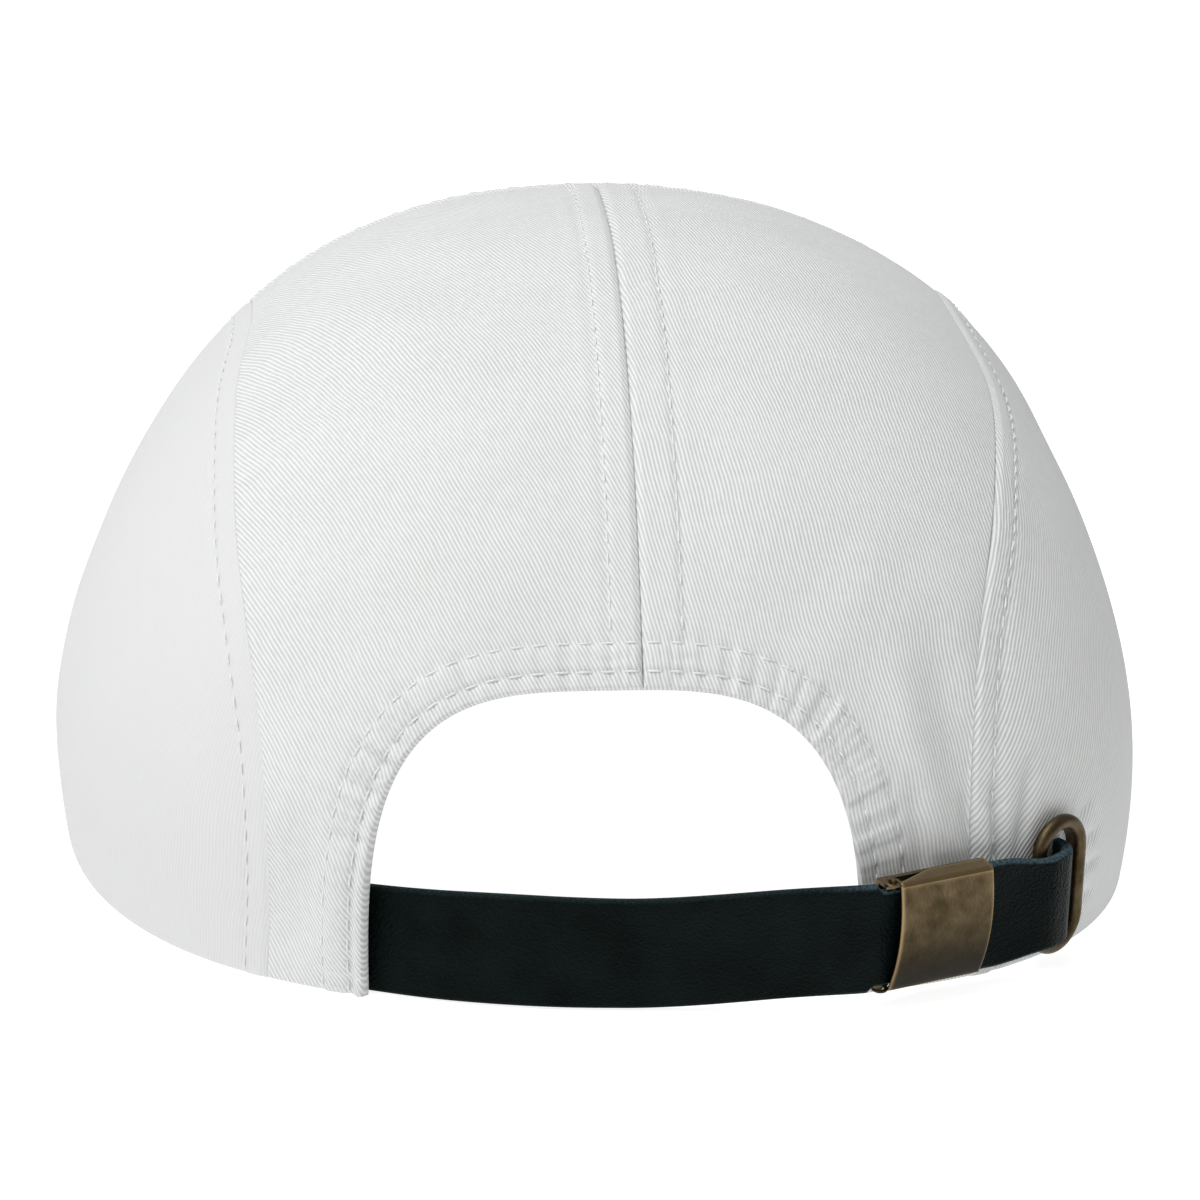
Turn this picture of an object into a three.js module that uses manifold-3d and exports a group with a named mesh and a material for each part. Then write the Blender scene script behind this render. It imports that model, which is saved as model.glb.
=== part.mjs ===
// A five panel cap of white cotton twill, with an arch opening at the back, a black leather strap,
// a brass flip clasp and an oblong brass eyelet that takes the strap's end.
// Millimetres, +Z up. The peak points along +Y, the arch opening along -Y, and +X is the wearer's
// right. The cap rests on its hem and on the side edges of its peak, at z = 0.
import * as THREE from 'three';
import { mergeVertices } from 'three/addons/utils/BufferGeometryUtils.js';
import Module from 'manifold-3d';

const wasm = await Module();
wasm.setup();

// Driving dimensions of the crown
const CROWN_WIDTH = 175;
const CROWN_LENGTH = 198;
const CROWN_HEIGHT = 98.5;
const CLOTH = 1.6;
const PANEL_GAP = 0.3;
const GAP = 0.3;

// How square the crown is: 2 is an ellipse, more is squarer
const SQUARE_SIDE_VIEW = 2.24;
const SQUARE_FRONT = 2.2;
const SQUARE_BACK_LEFT = 2.42;
const SQUARE_BACK_RIGHT = 3.06;

// The hem is drawn in below a full belly, and the top of the crown leans to the right
const HEM_TUCK = 0.032;
const BELLY_HEIGHT = 36;
const TOP_LEAN = 2.5;

// Soft hollows and fullness of the cloth: where they lie, in degrees round from the back and up
// from the hem, how far they spread, and their depth as a share of the crown's width
const SOFT_FORMS = [
  { round: -97, up: 33, spread: 11, depth: -0.0063 },
  { round: 100, up: 50, spread: 11, depth: 0.0091 },
  { round: -95, up: 3, spread: 14, depth: 0.0069 },
  { round: 93, up: 18, spread: 11, depth: -0.0034 },
  { round: -115, up: 68, spread: 12, depth: 0.0029 },
];

// The seams seen from above: the side seam's distance from the middle as a share of half the
// crown's width, from the back hem (-1) to the front hem (1)
const SIDE_SEAM = [
  { along: -1, left: 0.575, right: 0.57 },
  { along: -0.85, left: 0.59, right: 0.6 },
  { along: -0.6, left: 0.632, right: 0.665 },
  { along: -0.3, left: 0.634, right: 0.7 },
  { along: 0, left: 0.612, right: 0.674 },
  { along: 0.5, left: 0.632, right: 0.662 },
  { along: 1, left: 0.64, right: 0.64 },
];
const CENTRE_SEAM_X = 3.2;
const CROSS_SEAM_Y = 22;

// The arch opening over the strap
const ARCH_WIDTH = 72;
const ARCH_HEIGHT = 46.5;
const ARCH_SQUARE = 3.3;
const ARCH_X = -1.2;

// The peak, a stiff cloth board, arched across
const PEAK_REACH = 68;
const PEAK_WIDTH = 164;
const PEAK_TIP_WIDTH = 4;
const PEAK_THICKNESS = 3.2;
const PEAK_ARCH = 9;
const PEAK_SQUARE = 2.4;

// The strap
const STRAP_WIDTH = 16.8;
const STRAP_THICKNESS = 1.8;
const STRAP_LOW = 1.2;
const STRAP_WAIST = 15.8;
const STRAP_TAIL_WIDTH = 14.4;
const STRAP_TAIL = 20;
const STRAP_TAIL_TURN = 13;

// The free run of the strap, in degrees round from the back, and how far its middle lies outside
// the cloth's outer face
const STRAP_RUN = [
  { round: -38, out: -4.2 },
  { round: -30, out: -4.2 },
  { round: -23, out: -4.2 },
  { round: -15, out: -2.6 },
  { round: -6, out: -0.3 },
  { round: 3, out: 1.4 },
  { round: 12, out: 3.4 },
];

// The flip clasp. It stands off the cloth at its left end and leans out at its top. The slope is
// how far it leans out over its height.
const CLASP_ROUND = 25.1;
const CLASP_TURN = 8;
const CLASP_SLOPE = 0.18;
const CLASP_STAND_OFF = 1.7;
const CLASP_RISE = 2.9;
const CLASP_LENGTH = 16;
const BRASS_SHEET = 0.7;
const CLASP_WALL = 0.4;
const CLASP_CROWN = 1.6;
const PIN_RADIUS = 0.45;
const PIN_CLEARANCE = 0.25;
const PIN_OUT = 0.45;
const EAR_RADIUS = 1.25;
const HINGE_SETBACK = 0.3;
const LEVER_INSET = 0.75;
const FLANGE_SLIT = 7;

// The slot eyelet
const EYELET_ROUND = 38.2;
const EYELET_HEIGHT = 22;
const EYELET_WIDTH = 11.6;
const EYELET_BAR = 2.2;
const EYELET_LOW = 1.3;
const EYELET_BARREL = 0.5;
const EYELET_FLANGE = 1.4;
const TURN_ROOM = 1.4;

// Mesh fineness
const ROUND_STEPS = 72;
const UP_STEPS = 16;
const PEAK_STEPS = 36;
const PEAK_ACROSS = 6;
const SEAM_STEPS = 30;
const ARCH_STEPS = 32;
const STRAP_STEPS = 80;
const TURN_STEPS = 8;
const BOW_STEPS = 12;
const PIN_STEPS = 12;
const EAR_STEPS = 20;
const EYELET_STEPS = 40;
const BEAD_STEPS = 6;

const HALF_WIDTH = CROWN_WIDTH / 2;
const HALF_LENGTH = CROWN_LENGTH / 2;
const HEM_TO_CENTRE = HALF_LENGTH * (1 - HEM_TUCK);
const EPSILON_DEG = 0.2;
const HEIGHT_PASSES = 4;
const WELD = 1e-4;
const rad = THREE.MathUtils.degToRad;
const UP = new THREE.Vector3(0, 0, 1);
const deg = THREE.MathUtils.radToDeg;
const { lerp, clamp, smoothstep } = THREE.MathUtils;

// A unit vector from the middle of the hem, given in degrees round from the back and up
function direction(round, up) {
  const a = rad(round);
  const u = rad(up);
  return new THREE.Vector3(Math.sin(a) * Math.cos(u), -Math.cos(a) * Math.cos(u), Math.sin(u));
}

const softForms = SOFT_FORMS.map((form) => ({
  centre: direction(form.round, form.up),
  spread: rad(form.spread) ** 2,
  depth: form.depth * CROWN_WIDTH,
}));

// The crown's outer face along one direction: a rounded dome with a squarish plan, with the soft
// forms added, the hem tucked in and the top leaned over
function crownPoint(round, up) {
  const d = direction(round, up);
  const back = d.x < 0 ? SQUARE_BACK_LEFT : SQUARE_BACK_RIGHT;
  const n = d.y > 0 ? SQUARE_FRONT : back;
  const plan = Math.abs(d.x / HALF_WIDTH) ** n + Math.abs(d.y / HALF_LENGTH) ** n;
  const m = SQUARE_SIDE_VIEW;
  let reach = (plan ** (m / n) + Math.abs(d.z / CROWN_HEIGHT) ** m) ** (-1 / m);
  for (const form of softForms) {
    reach += form.depth * Math.exp(-(1 - d.dot(form.centre)) / form.spread);
  }
  const p = d.multiplyScalar(reach);
  const tuck = 1 - HEM_TUCK * clamp(1 - p.z / BELLY_HEIGHT, 0, 1) ** 2;
  p.x = p.x * tuck + TOP_LEAN * (p.z / CROWN_HEIGHT) ** 2;
  p.y *= tuck;
  return p;
}

// The outward normal of the crown's outer face
function crownNormal(round, up) {
  const e = EPSILON_DEG;
  const across = crownPoint(round + e, up).sub(crownPoint(round - e, up));
  const top = Math.min(up + e, 90 - e);
  const rise = crownPoint(round, top).sub(crownPoint(round, top - 2 * e));
  return across.cross(rise).normalize();
}

// How many degrees up from the hem the outer face reaches a height, at one place round it
function upAtHeight(round, height) {
  let up = 0;
  for (let pass = 0; pass < HEIGHT_PASSES; pass += 1) {
    const p = crownPoint(round, up);
    up = deg(Math.atan2(height, Math.hypot(p.x, p.y)));
  }
  return up;
}

// The height that the arched peak lifts the front hem to, at one side-to-side place
function peakLift(x) {
  return PEAK_ARCH * clamp(1 - (2 * x / PEAK_WIDTH) ** 2, 0, 1);
}

// Catmull-Rom between the rows of a table, for one of its columns
function tableValue(table, key, column, at) {
  let i = table.findIndex((row) => row[key] >= at);
  i = clamp(i < 0 ? table.length - 1 : i, 1, table.length - 1);
  const row = (j) => table[clamp(j, 0, table.length - 1)];
  const slope = (j) => (row(j + 1)[column] - row(j - 1)[column]) / (row(j + 1)[key] - row(j - 1)[key]);
  const span = row(i)[key] - row(i - 1)[key];
  const t = clamp((at - row(i - 1)[key]) / span, 0, 1);
  const h = t * t * (3 - 2 * t);
  const bend = t * (1 - t) ** 2 * span * slope(i - 1) - t * t * (1 - t) * span * slope(i);
  return lerp(row(i - 1)[column], row(i)[column], h) + bend;
}

// A closed geometry from its points and its quads and triangles, which are lists of point numbers
function closedGeometry(points, faces) {
  const index = [];
  for (const f of faces) {
    index.push(f[0], f[1], f[2]);
    if (f.length === 4) {
      index.push(f[0], f[2], f[3]);
    }
  }
  const geometry = new THREE.BufferGeometry();
  const places = points.flatMap((p) => [p.x, p.y, p.z]);
  geometry.setAttribute('position', new THREE.Float32BufferAttribute(places, 3));
  geometry.setIndex(index);
  return geometry;
}

// Closed geometry to a solid that can be joined and cut, and back
function toSolid(geometry) {
  const bare = geometry.clone();
  bare.deleteAttribute('normal');
  bare.deleteAttribute('uv');
  const merged = mergeVertices(bare, WELD);
  return new wasm.Manifold(new wasm.Mesh({
    numProp: 3,
    vertProperties: new Float32Array(merged.attributes.position.array),
    triVerts: new Uint32Array(merged.index.array),
  }));
}

function toGeometry(solid) {
  const mesh = solid.getMesh();
  const geometry = new THREE.BufferGeometry();
  geometry.setAttribute('position', new THREE.Float32BufferAttribute(mesh.vertProperties, 3));
  geometry.setIndex(Array.from(mesh.triVerts));
  return geometry;
}

// An upright prism over an outline in the plan, between two heights
function uprightPrism(outline, low, high) {
  const shape = new THREE.Shape(outline);
  const geometry = new THREE.ExtrudeGeometry(shape, { depth: high - low, bevelEnabled: false });
  return geometry.translate(0, 0, low);
}

// The whole crown as one hollow dome, open below, with its front hem lifted over the peak
function crownShell() {
  const rows = UP_STEPS;
  const points = [];
  const faces = [];
  const faceStart = [];
  for (const depth of [0, CLOTH]) {
    faceStart.push(points.length);
    for (let j = 0; j < rows; j += 1) {
      for (let i = 0; i < ROUND_STEPS; i += 1) {
        const round = (360 * i) / ROUND_STEPS - 180;
        const hem = crownPoint(round, 0);
        const lift = hem.y > 0 ? peakLift(hem.x) : 0;
        const up = lerp(upAtHeight(round, lift), 90, j / rows);
        const p = crownPoint(round, up);
        const n = crownNormal(round, up);
        n.z *= smoothstep(p.z, lift, lift + 4 * CLOTH);
        points.push(p.addScaledVector(n.normalize(), -depth));
      }
    }
    points.push(crownPoint(0, 90).add(new THREE.Vector3(0, 0, -depth)));
  }
  const [outer, inner] = faceStart;
  for (let i = 0; i < ROUND_STEPS; i += 1) {
    const next = (i + 1) % ROUND_STEPS;
    for (let j = 0; j < rows - 1; j += 1) {
      const a = j * ROUND_STEPS;
      const b = a + ROUND_STEPS;
      faces.push([outer + a + i, outer + a + next, outer + b + next, outer + b + i]);
      faces.push([inner + a + i, inner + b + i, inner + b + next, inner + a + next]);
    }
    const top = (rows - 1) * ROUND_STEPS;
    const apex = rows * ROUND_STEPS;
    faces.push([outer + top + i, outer + top + next, outer + apex]);
    faces.push([inner + top + next, inner + top + i, inner + apex]);
    faces.push([outer + i, inner + i, inner + next, outer + next]);
  }
  return closedGeometry(points, faces);
}

// The side seam's plan curve on one side, moved outward by a set distance
function seamLine(side, shift) {
  const column = side < 0 ? 'left' : 'right';
  const line = [];
  for (let i = 0; i <= SEAM_STEPS; i += 1) {
    const along = lerp(-1, 1, i / SEAM_STEPS);
    const x = HALF_WIDTH * tableValue(SIDE_SEAM, 'along', column, along) + shift;
    line.push(new THREE.Vector2(side * x, along * HALF_LENGTH));
  }
  return line;
}

// A far corner of the plan, outside the crown
function far(x, y) {
  return new THREE.Vector2(x * CROWN_WIDTH, y * CROWN_LENGTH);
}

// Plan outlines of the five panels, each half a panel gap inside its seams
function panelOutlines() {
  const half = PANEL_GAP / 2;
  const crossY = CROSS_SEAM_Y;
  const backOf = (line) => line.filter((p) => p.y < crossY - half);
  const frontOf = (line) => line.filter((p) => p.y > crossY + half);
  const at = (line, y) => {
    const i = line.findIndex((p) => p.y >= y);
    const t = (y - line[i - 1].y) / (line[i].y - line[i - 1].y);
    return new THREE.Vector2(lerp(line[i - 1].x, line[i].x, t), y);
  };
  const left = seamLine(-1, -half);
  const right = seamLine(1, -half);
  const outlines = {
    front_panel: [
      at(left, crossY + half), at(right, crossY + half), ...frontOf(right),
      new THREE.Vector2(right.at(-1).x, CROWN_LENGTH), new THREE.Vector2(left.at(-1).x, CROWN_LENGTH),
      ...frontOf(left).reverse(),
    ],
  };
  for (const [name, line, side] of [['back_panel_left', left, -1], ['back_panel_right', right, 1]]) {
    const inner = CENTRE_SEAM_X + side * half;
    const outline = [
      new THREE.Vector2(inner, -CROWN_LENGTH), new THREE.Vector2(line[0].x, -CROWN_LENGTH),
      ...backOf(line), at(line, crossY - half), new THREE.Vector2(inner, crossY - half),
    ];
    outlines[name] = outline;
  }
  for (const [name, side] of [['side_panel_left', -1], ['side_panel_right', 1]]) {
    const line = seamLine(side, half);
    outlines[name] = [
      new THREE.Vector2(line[0].x, -CROWN_LENGTH), ...line,
      new THREE.Vector2(line.at(-1).x, CROWN_LENGTH), far(side, 1), far(side, -1),
    ];
  }
  return outlines;
}

// The arch opening's cutter, a squarish arch carried from front to back through the rear wall
function archCutter() {
  const outline = [];
  for (let i = 0; i <= ARCH_STEPS; i += 1) {
    const a = (Math.PI * i) / ARCH_STEPS;
    const c = Math.cos(a);
    const x = ARCH_X + (ARCH_WIDTH / 2) * Math.sign(c) * Math.abs(c) ** (2 / ARCH_SQUARE);
    outline.push(new THREE.Vector2(x, ARCH_HEIGHT * Math.sin(a) ** (2 / ARCH_SQUARE)));
  }
  outline.push(new THREE.Vector2(ARCH_X - ARCH_WIDTH / 2, -CLOTH));
  outline.push(new THREE.Vector2(ARCH_X + ARCH_WIDTH / 2, -CLOTH));
  const geometry = new THREE.ExtrudeGeometry(new THREE.Shape(outline), {
    depth: HALF_LENGTH, bevelEnabled: false,
  });
  return geometry.rotateX(Math.PI / 2).translate(0, -HALF_LENGTH / 2, 0);
}

// A place on the crown's outer face at a height, with the directions to the right along the hem
// and straight out, both level and turned by an angle. at() gives the plan point a set distance
// along and out.
function hemFrame(round, height = STRAP_LOW + STRAP_WIDTH / 2, turn = 0) {
  const up = upAtHeight(round, height);
  const origin = crownPoint(round, up);
  const out = crownNormal(round, up).setZ(0).normalize().applyAxisAngle(UP, rad(turn));
  const along = new THREE.Vector3(-out.y, out.x, 0);
  const at = (t, n, z = 0) => new THREE.Vector3(
    origin.x + along.x * t + out.x * n,
    origin.y + along.y * t + out.y * n,
    z,
  );
  return { at, origin, along, out };
}

const EYELET_MID_Z = EYELET_LOW + EYELET_HEIGHT / 2;
const STRAP_MID_Z = STRAP_LOW + STRAP_WIDTH / 2;
const clasp = hemFrame(CLASP_ROUND, STRAP_MID_Z, CLASP_TURN);
const eyelet = hemFrame(EYELET_ROUND, EYELET_MID_Z);

// The eyelet's own seat, square to the leaning cloth at its middle
const seatUp = upAtHeight(EYELET_ROUND, EYELET_MID_Z);
const seat = crownPoint(EYELET_ROUND, seatUp);
const seatOut = crownNormal(EYELET_ROUND, seatUp);
const seatAlong = new THREE.Vector3(-seatOut.y, seatOut.x, 0).normalize();
const seatRise = new THREE.Vector3().crossVectors(seatOut, seatAlong);
const seatBasis = new THREE.Matrix4().makeBasis(seatAlong, seatRise, seatOut).setPosition(seat);

// How far the curved cloth falls away behind the eyelet's ends
const SEAT_FALL = Math.max(...[-1, 1].flatMap((across) => [-1, 1].map((rise) => {
  const turn = deg(1 / seat.length());
  const round = EYELET_ROUND + (across * turn * EYELET_WIDTH) / 2;
  const end = crownPoint(round, seatUp + (rise * turn * EYELET_HEIGHT) / 2);
  return -end.sub(seat).dot(seatOut);
})));

// How far out from the cloth each layer of the clasp and the eyelet lies
const PLATE_OUT = CLASP_STAND_OFF + BRASS_SHEET;
const STRAP_IN = PLATE_OUT + GAP;
const STRAP_OUT = STRAP_IN + STRAP_THICKNESS;
const COVER_IN = STRAP_OUT + GAP;
const HINGE_OUT = COVER_IN - HINGE_SETBACK - GAP;
const HINGE_ALONG = -CLASP_LENGTH / 2 - PIN_RADIUS;
const CLASP_UPRIGHT = 1 / Math.hypot(1, CLASP_SLOPE);
const EAR_IN = STRAP_WAIST / 2 + GAP / 2;
const FLANGE_IN = EAR_IN + CLASP_WALL + GAP / 2;
const BEAD_BACK = GAP;
const BEAD_OUT = BEAD_BACK + EYELET_BAR;
const FLANGE_FRONT = -CLOTH - GAP - SEAT_FALL;
const FLANGE_BACK = FLANGE_FRONT - BRASS_SHEET;
const SEAT_SLOPE = -seatOut.z / Math.hypot(seatOut.x, seatOut.y);
const TURN_OUT = BEAD_OUT + 3 * GAP + STRAP_THICKNESS / 2;
const TURN_IN = FLANGE_BACK - 3 * GAP - STRAP_THICKNESS / 2;

// The strap's tail clears the round lower end of the eyelet's slot
const SLOT_HALF = EYELET_WIDTH / 2 - EYELET_BAR;
const SLOT_ROUNDING = SLOT_HALF - Math.sqrt(SLOT_HALF ** 2 - (SLOT_HALF - TURN_ROOM) ** 2);
const STRAP_TAIL_LOW = EYELET_LOW + EYELET_BAR + SLOT_ROUNDING + GAP;

// A ribbon solid along a route of stations, each with its plan point, its level side direction,
// its thickness, its lower and upper edge, and how it leans out about its middle height
function ribbon(stations) {
  const points = [];
  const faces = [];
  for (const s of stations) {
    for (const [side, z] of [[-1, s.low], [1, s.low], [1, s.high], [-1, s.high]]) {
      const point = new THREE.Vector3(s.x, s.y, z).addScaledVector(s.side, side * s.thickness / 2);
      points.push(point.addScaledVector(s.lean, z - s.middle));
    }
  }
  const last = 4 * (stations.length - 1);
  for (let i = 0; i < last; i += 4) {
    for (let k = 0; k < 4; k += 1) {
      const next = (k + 1) % 4;
      faces.push([i + k, i + 4 + k, i + 4 + next, i + next]);
    }
  }
  faces.push([0, 1, 2, 3], [last + 3, last + 2, last + 1, last]);
  return closedGeometry(points, faces);
}

// The strap: from inside the left of the arch, out over the right of the arch, straight through
// the clasp, and in a half turn through the eyelet to its tail inside the crown
function strapGeometry() {
  const route = STRAP_RUN.map((row) => hemFrame(row.round).at(0, row.out));
  const middle = (STRAP_IN + STRAP_THICKNESS / 2) / CLASP_UPRIGHT;
  const claspRise = CLASP_RISE - (STRAP_IN + STRAP_THICKNESS / 2) * CLASP_SLOPE * CLASP_UPRIGHT;
  const levelWaist = (STRAP_WAIST - 2 * STRAP_THICKNESS * CLASP_SLOPE) * CLASP_UPRIGHT;
  const straight = EAR_RADIUS - HINGE_ALONG + 2 * GAP;
  for (const t of [-straight, -straight / 2, 0, straight / 2, straight]) {
    route.push(clasp.at(t, middle));
  }
  const radius = (TURN_OUT - TURN_IN) / 2;
  const turnCentre = (TURN_OUT + TURN_IN) / 2;
  const turnAlong = SLOT_HALF - TURN_ROOM - STRAP_THICKNESS / 2 - radius;
  route.push(eyelet.at(-EYELET_WIDTH / 2 - GAP, TURN_OUT));
  for (let i = 0; i <= TURN_STEPS; i += 1) {
    const a = (Math.PI * i) / TURN_STEPS;
    route.push(eyelet.at(turnAlong + radius * Math.sin(a), turnCentre + radius * Math.cos(a)));
  }
  route.push(eyelet.at(-EYELET_WIDTH / 2, TURN_IN));
  for (const run of [STRAP_TAIL_TURN, (STRAP_TAIL_TURN + STRAP_TAIL) / 2, STRAP_TAIL]) {
    const round = EYELET_ROUND - deg(run / HALF_LENGTH);
    route.push(hemFrame(round).at(0, TURN_IN - CLOTH));
  }
  const curve = new THREE.CatmullRomCurve3(route, false, 'centripetal');
  const samples = curve.getSpacedPoints(STRAP_STEPS);
  const eyeletSide = eyelet.at(-EYELET_WIDTH / 2, TURN_OUT);
  const nearest = (p) => samples.reduce((best, q, i) => (
    q.distanceTo(p) < samples[best].distanceTo(p) ? i : best), 0);
  const tailFrom = nearest(clasp.at(straight, middle));
  const tailTo = nearest(eyeletSide);
  const level = new THREE.Vector3(clasp.origin.x, clasp.origin.y, 0);
  return ribbon(samples.map((p, i) => {
    const ahead = samples[Math.min(i + 1, STRAP_STEPS)];
    const behind = samples[Math.max(i - 1, 0)];
    const run = ahead.clone().sub(behind).normalize();
    const side = new THREE.Vector3(run.y, -run.x, 0);
    const fromClasp = i > tailTo ? CROWN_WIDTH : Math.abs(p.clone().sub(level).dot(clasp.along));
    const waist = 1 - smoothstep(fromClasp, straight, straight + STRAP_THICKNESS);
    const trim = (waist * (STRAP_WIDTH - levelWaist)) / 2;
    const tail = smoothstep(i, tailFrom, tailTo);
    const out = smoothstep(p.x, -ARCH_WIDTH / 2, ARCH_WIDTH / 2);
    const rise = claspRise * smoothstep(p.x, 0, ARCH_WIDTH / 2) * (1 - tail);
    const slope = lerp(CLASP_SLOPE * out, SEAT_SLOPE, tail);
    return {
      x: p.x,
      y: p.y,
      side,
      lean: new THREE.Vector3(p.x, p.y, 0).setLength(slope),
      middle: lerp(STRAP_MID_Z, EYELET_MID_Z, tail) + rise,
      thickness: STRAP_THICKNESS,
      low: lerp(STRAP_LOW, STRAP_TAIL_LOW, tail) + trim + rise,
      high: lerp(STRAP_LOW + STRAP_WIDTH, STRAP_TAIL_LOW + STRAP_TAIL_WIDTH, tail) - trim + rise,
    };
  }));
}

// The matrix that stands a clasp drawing at the clasp's place: the drawing's x runs along the
// strap, its y in towards the cloth, and its z up the leaning clasp
function claspMatrix() {
  const rise = UP.clone().addScaledVector(clasp.out, CLASP_SLOPE).normalize();
  const inward = new THREE.Vector3().crossVectors(rise, clasp.along);
  const matrix = new THREE.Matrix4().makeBasis(clasp.along, inward, rise);
  return matrix.setPosition(clasp.origin.x, clasp.origin.y, STRAP_MID_Z + CLASP_RISE);
}

// A flat plate of the clasp between two heights, from its outline as distances along the strap
// and out from the cloth
function planPlate(outline, low, high) {
  return uprightPrism(outline.map(([along, out]) => new THREE.Vector2(along, -out)), low, high);
}

// A circle as a list of points
function roundOutline(x, y, radius, steps) {
  return Array.from({ length: steps }, (_, i) => {
    const a = (2 * Math.PI * i) / steps;
    return [x + radius * Math.cos(a), y + radius * Math.sin(a)];
  });
}

// The clasp's frame: a plate behind the strap, an ear over and under the strap at its left end,
// and a stub pin on each ear
function claspFrame() {
  const left = HINGE_ALONG - EAR_RADIUS;
  const right = CLASP_LENGTH / 2;
  const tall = EAR_IN + CLASP_WALL;
  const inside = CLASP_STAND_OFF;
  let solid = toSolid(planPlate(
    [[left, inside], [right, inside], [right, PLATE_OUT], [left, PLATE_OUT]], -tall, tall));
  for (const side of [-1, 1]) {
    const band = side < 0 ? [-tall, -EAR_IN] : [EAR_IN, tall];
    const ear = planPlate([
      [left, inside], [HINGE_ALONG + EAR_RADIUS, inside],
      [HINGE_ALONG + EAR_RADIUS, COVER_IN - GAP], [HINGE_ALONG, COVER_IN], [left, COVER_IN - GAP],
    ], ...band);
    const reach = FLANGE_IN + CLASP_WALL + PIN_OUT;
    const root = EAR_IN + CLASP_WALL / 2;
    const pinBand = side < 0 ? [-reach, -root] : [root, reach];
    const pinRound = roundOutline(HINGE_ALONG, HINGE_OUT, PIN_RADIUS, PIN_STEPS);
    const pin = planPlate(pinRound, ...pinBand);
    solid = solid.add(toSolid(ear)).add(toSolid(pin));
  }
  return toGeometry(solid);
}

// The clasp's lever: a cover plate bowed from top to bottom, with a flange folded back at top and
// bottom that leaves a slit beside the ear round each pin
function claspLever() {
  const tall = FLANGE_IN + CLASP_WALL;
  const right = CLASP_LENGTH / 2;
  const left = HINGE_ALONG + LEVER_INSET;
  const bow = [];
  const bowOut = (z) => CLASP_CROWN * (1 - (z / tall) ** 2);
  for (let i = 0; i <= BOW_STEPS; i += 1) {
    const z = lerp(-tall, tall, i / BOW_STEPS);
    bow.push(new THREE.Vector2(COVER_IN + BRASS_SHEET + bowOut(z), z));
  }
  for (let i = BOW_STEPS; i >= 0; i -= 1) {
    const z = lerp(-tall, tall, i / BOW_STEPS);
    bow.push(new THREE.Vector2(COVER_IN + bowOut(z), z));
  }
  const cover = new THREE.ExtrudeGeometry(new THREE.Shape(bow), {
    depth: right - left, bevelEnabled: false,
  });
  const turn = new THREE.Matrix4().makeBasis(
    new THREE.Vector3(0, -1, 0), new THREE.Vector3(0, 0, 1), new THREE.Vector3(-1, 0, 0));
  cover.applyMatrix4(turn).translate(right, 0, 0);
  let solid = toSolid(cover);
  const back = PLATE_OUT + GAP / 2;
  const front = COVER_IN + BRASS_SHEET / 2;
  for (const side of [-1, 1]) {
    const band = side < 0 ? [-tall, -FLANGE_IN] : [FLANGE_IN, tall];
    const flange = planPlate([
      [HINGE_ALONG, HINGE_OUT - EAR_RADIUS / 2], [HINGE_ALONG + EAR_RADIUS, COVER_IN - GAP],
      [HINGE_ALONG + FLANGE_SLIT, back], [right, back], [right, front], [left, front],
      [HINGE_ALONG, HINGE_OUT + EAR_RADIUS / 2],
    ], ...band);
    const ear = planPlate(roundOutline(HINGE_ALONG, HINGE_OUT, EAR_RADIUS, EAR_STEPS), ...band);
    const deep = side < 0 ? [-2 * tall, 0] : [0, 2 * tall];
    const holeRadius = PIN_RADIUS + PIN_CLEARANCE;
    const hole = planPlate(
      roundOutline(HINGE_ALONG, HINGE_OUT, holeRadius, PIN_STEPS), ...deep);
    solid = solid.add(toSolid(flange)).add(toSolid(ear)).subtract(toSolid(hole));
  }
  return toGeometry(solid);
}

// One point of an upright oblong with round ends, a share of the way round it
function oblong(share, width, height) {
  const radius = width / 2;
  const side = height - width;
  const length = 2 * side + 2 * Math.PI * radius;
  let s = share * length;
  if (s < side) {
    return new THREE.Vector2(radius, s - side / 2);
  }
  s -= side;
  if (s < Math.PI * radius) {
    const a = s / radius;
    return new THREE.Vector2(radius * Math.cos(a), side / 2 + radius * Math.sin(a));
  }
  s -= Math.PI * radius;
  if (s < side) {
    return new THREE.Vector2(-radius, side / 2 - s);
  }
  const a = Math.PI + (s - side) / radius;
  return new THREE.Vector2(radius * Math.cos(a), -side / 2 + radius * Math.sin(a));
}

// The eyelet: a round front bead, a thin barrel through the cloth and a flat flange behind it, as
// one section carried round the oblong
function slotEyelet() {
  const inner = SLOT_HALF;
  const middle = EYELET_WIDTH / 2 - EYELET_BAR / 2;
  const section = [];
  for (let i = 0; i <= BEAD_STEPS; i += 1) {
    const a = (Math.PI * i) / BEAD_STEPS;
    section.push([middle - (EYELET_BAR / 2) * Math.cos(a), BEAD_BACK + EYELET_BAR * Math.sin(a)]);
  }
  section.push([inner + EYELET_BARREL, BEAD_BACK], [inner + EYELET_BARREL, FLANGE_FRONT]);
  section.push([inner + EYELET_FLANGE, FLANGE_FRONT], [inner + EYELET_FLANGE, FLANGE_BACK]);
  section.push([inner, FLANGE_BACK]);
  const stretch = EYELET_HEIGHT - EYELET_WIDTH;
  const points = [];
  const faces = [];
  const count = section.length;
  for (let i = 0; i < EYELET_STEPS; i += 1) {
    for (const [reach, out] of section) {
      const q = oblong(i / EYELET_STEPS, 2 * reach, 2 * reach + stretch);
      points.push(new THREE.Vector3(q.x, q.y, out).applyMatrix4(seatBasis));
    }
    const a = i * count;
    const b = ((i + 1) % EYELET_STEPS) * count;
    for (let k = 0; k < count; k += 1) {
      const next = (k + 1) % count;
      faces.push([a + k, a + next, b + next, b + k]);
    }
  }
  return closedGeometry(points, faces);
}

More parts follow.
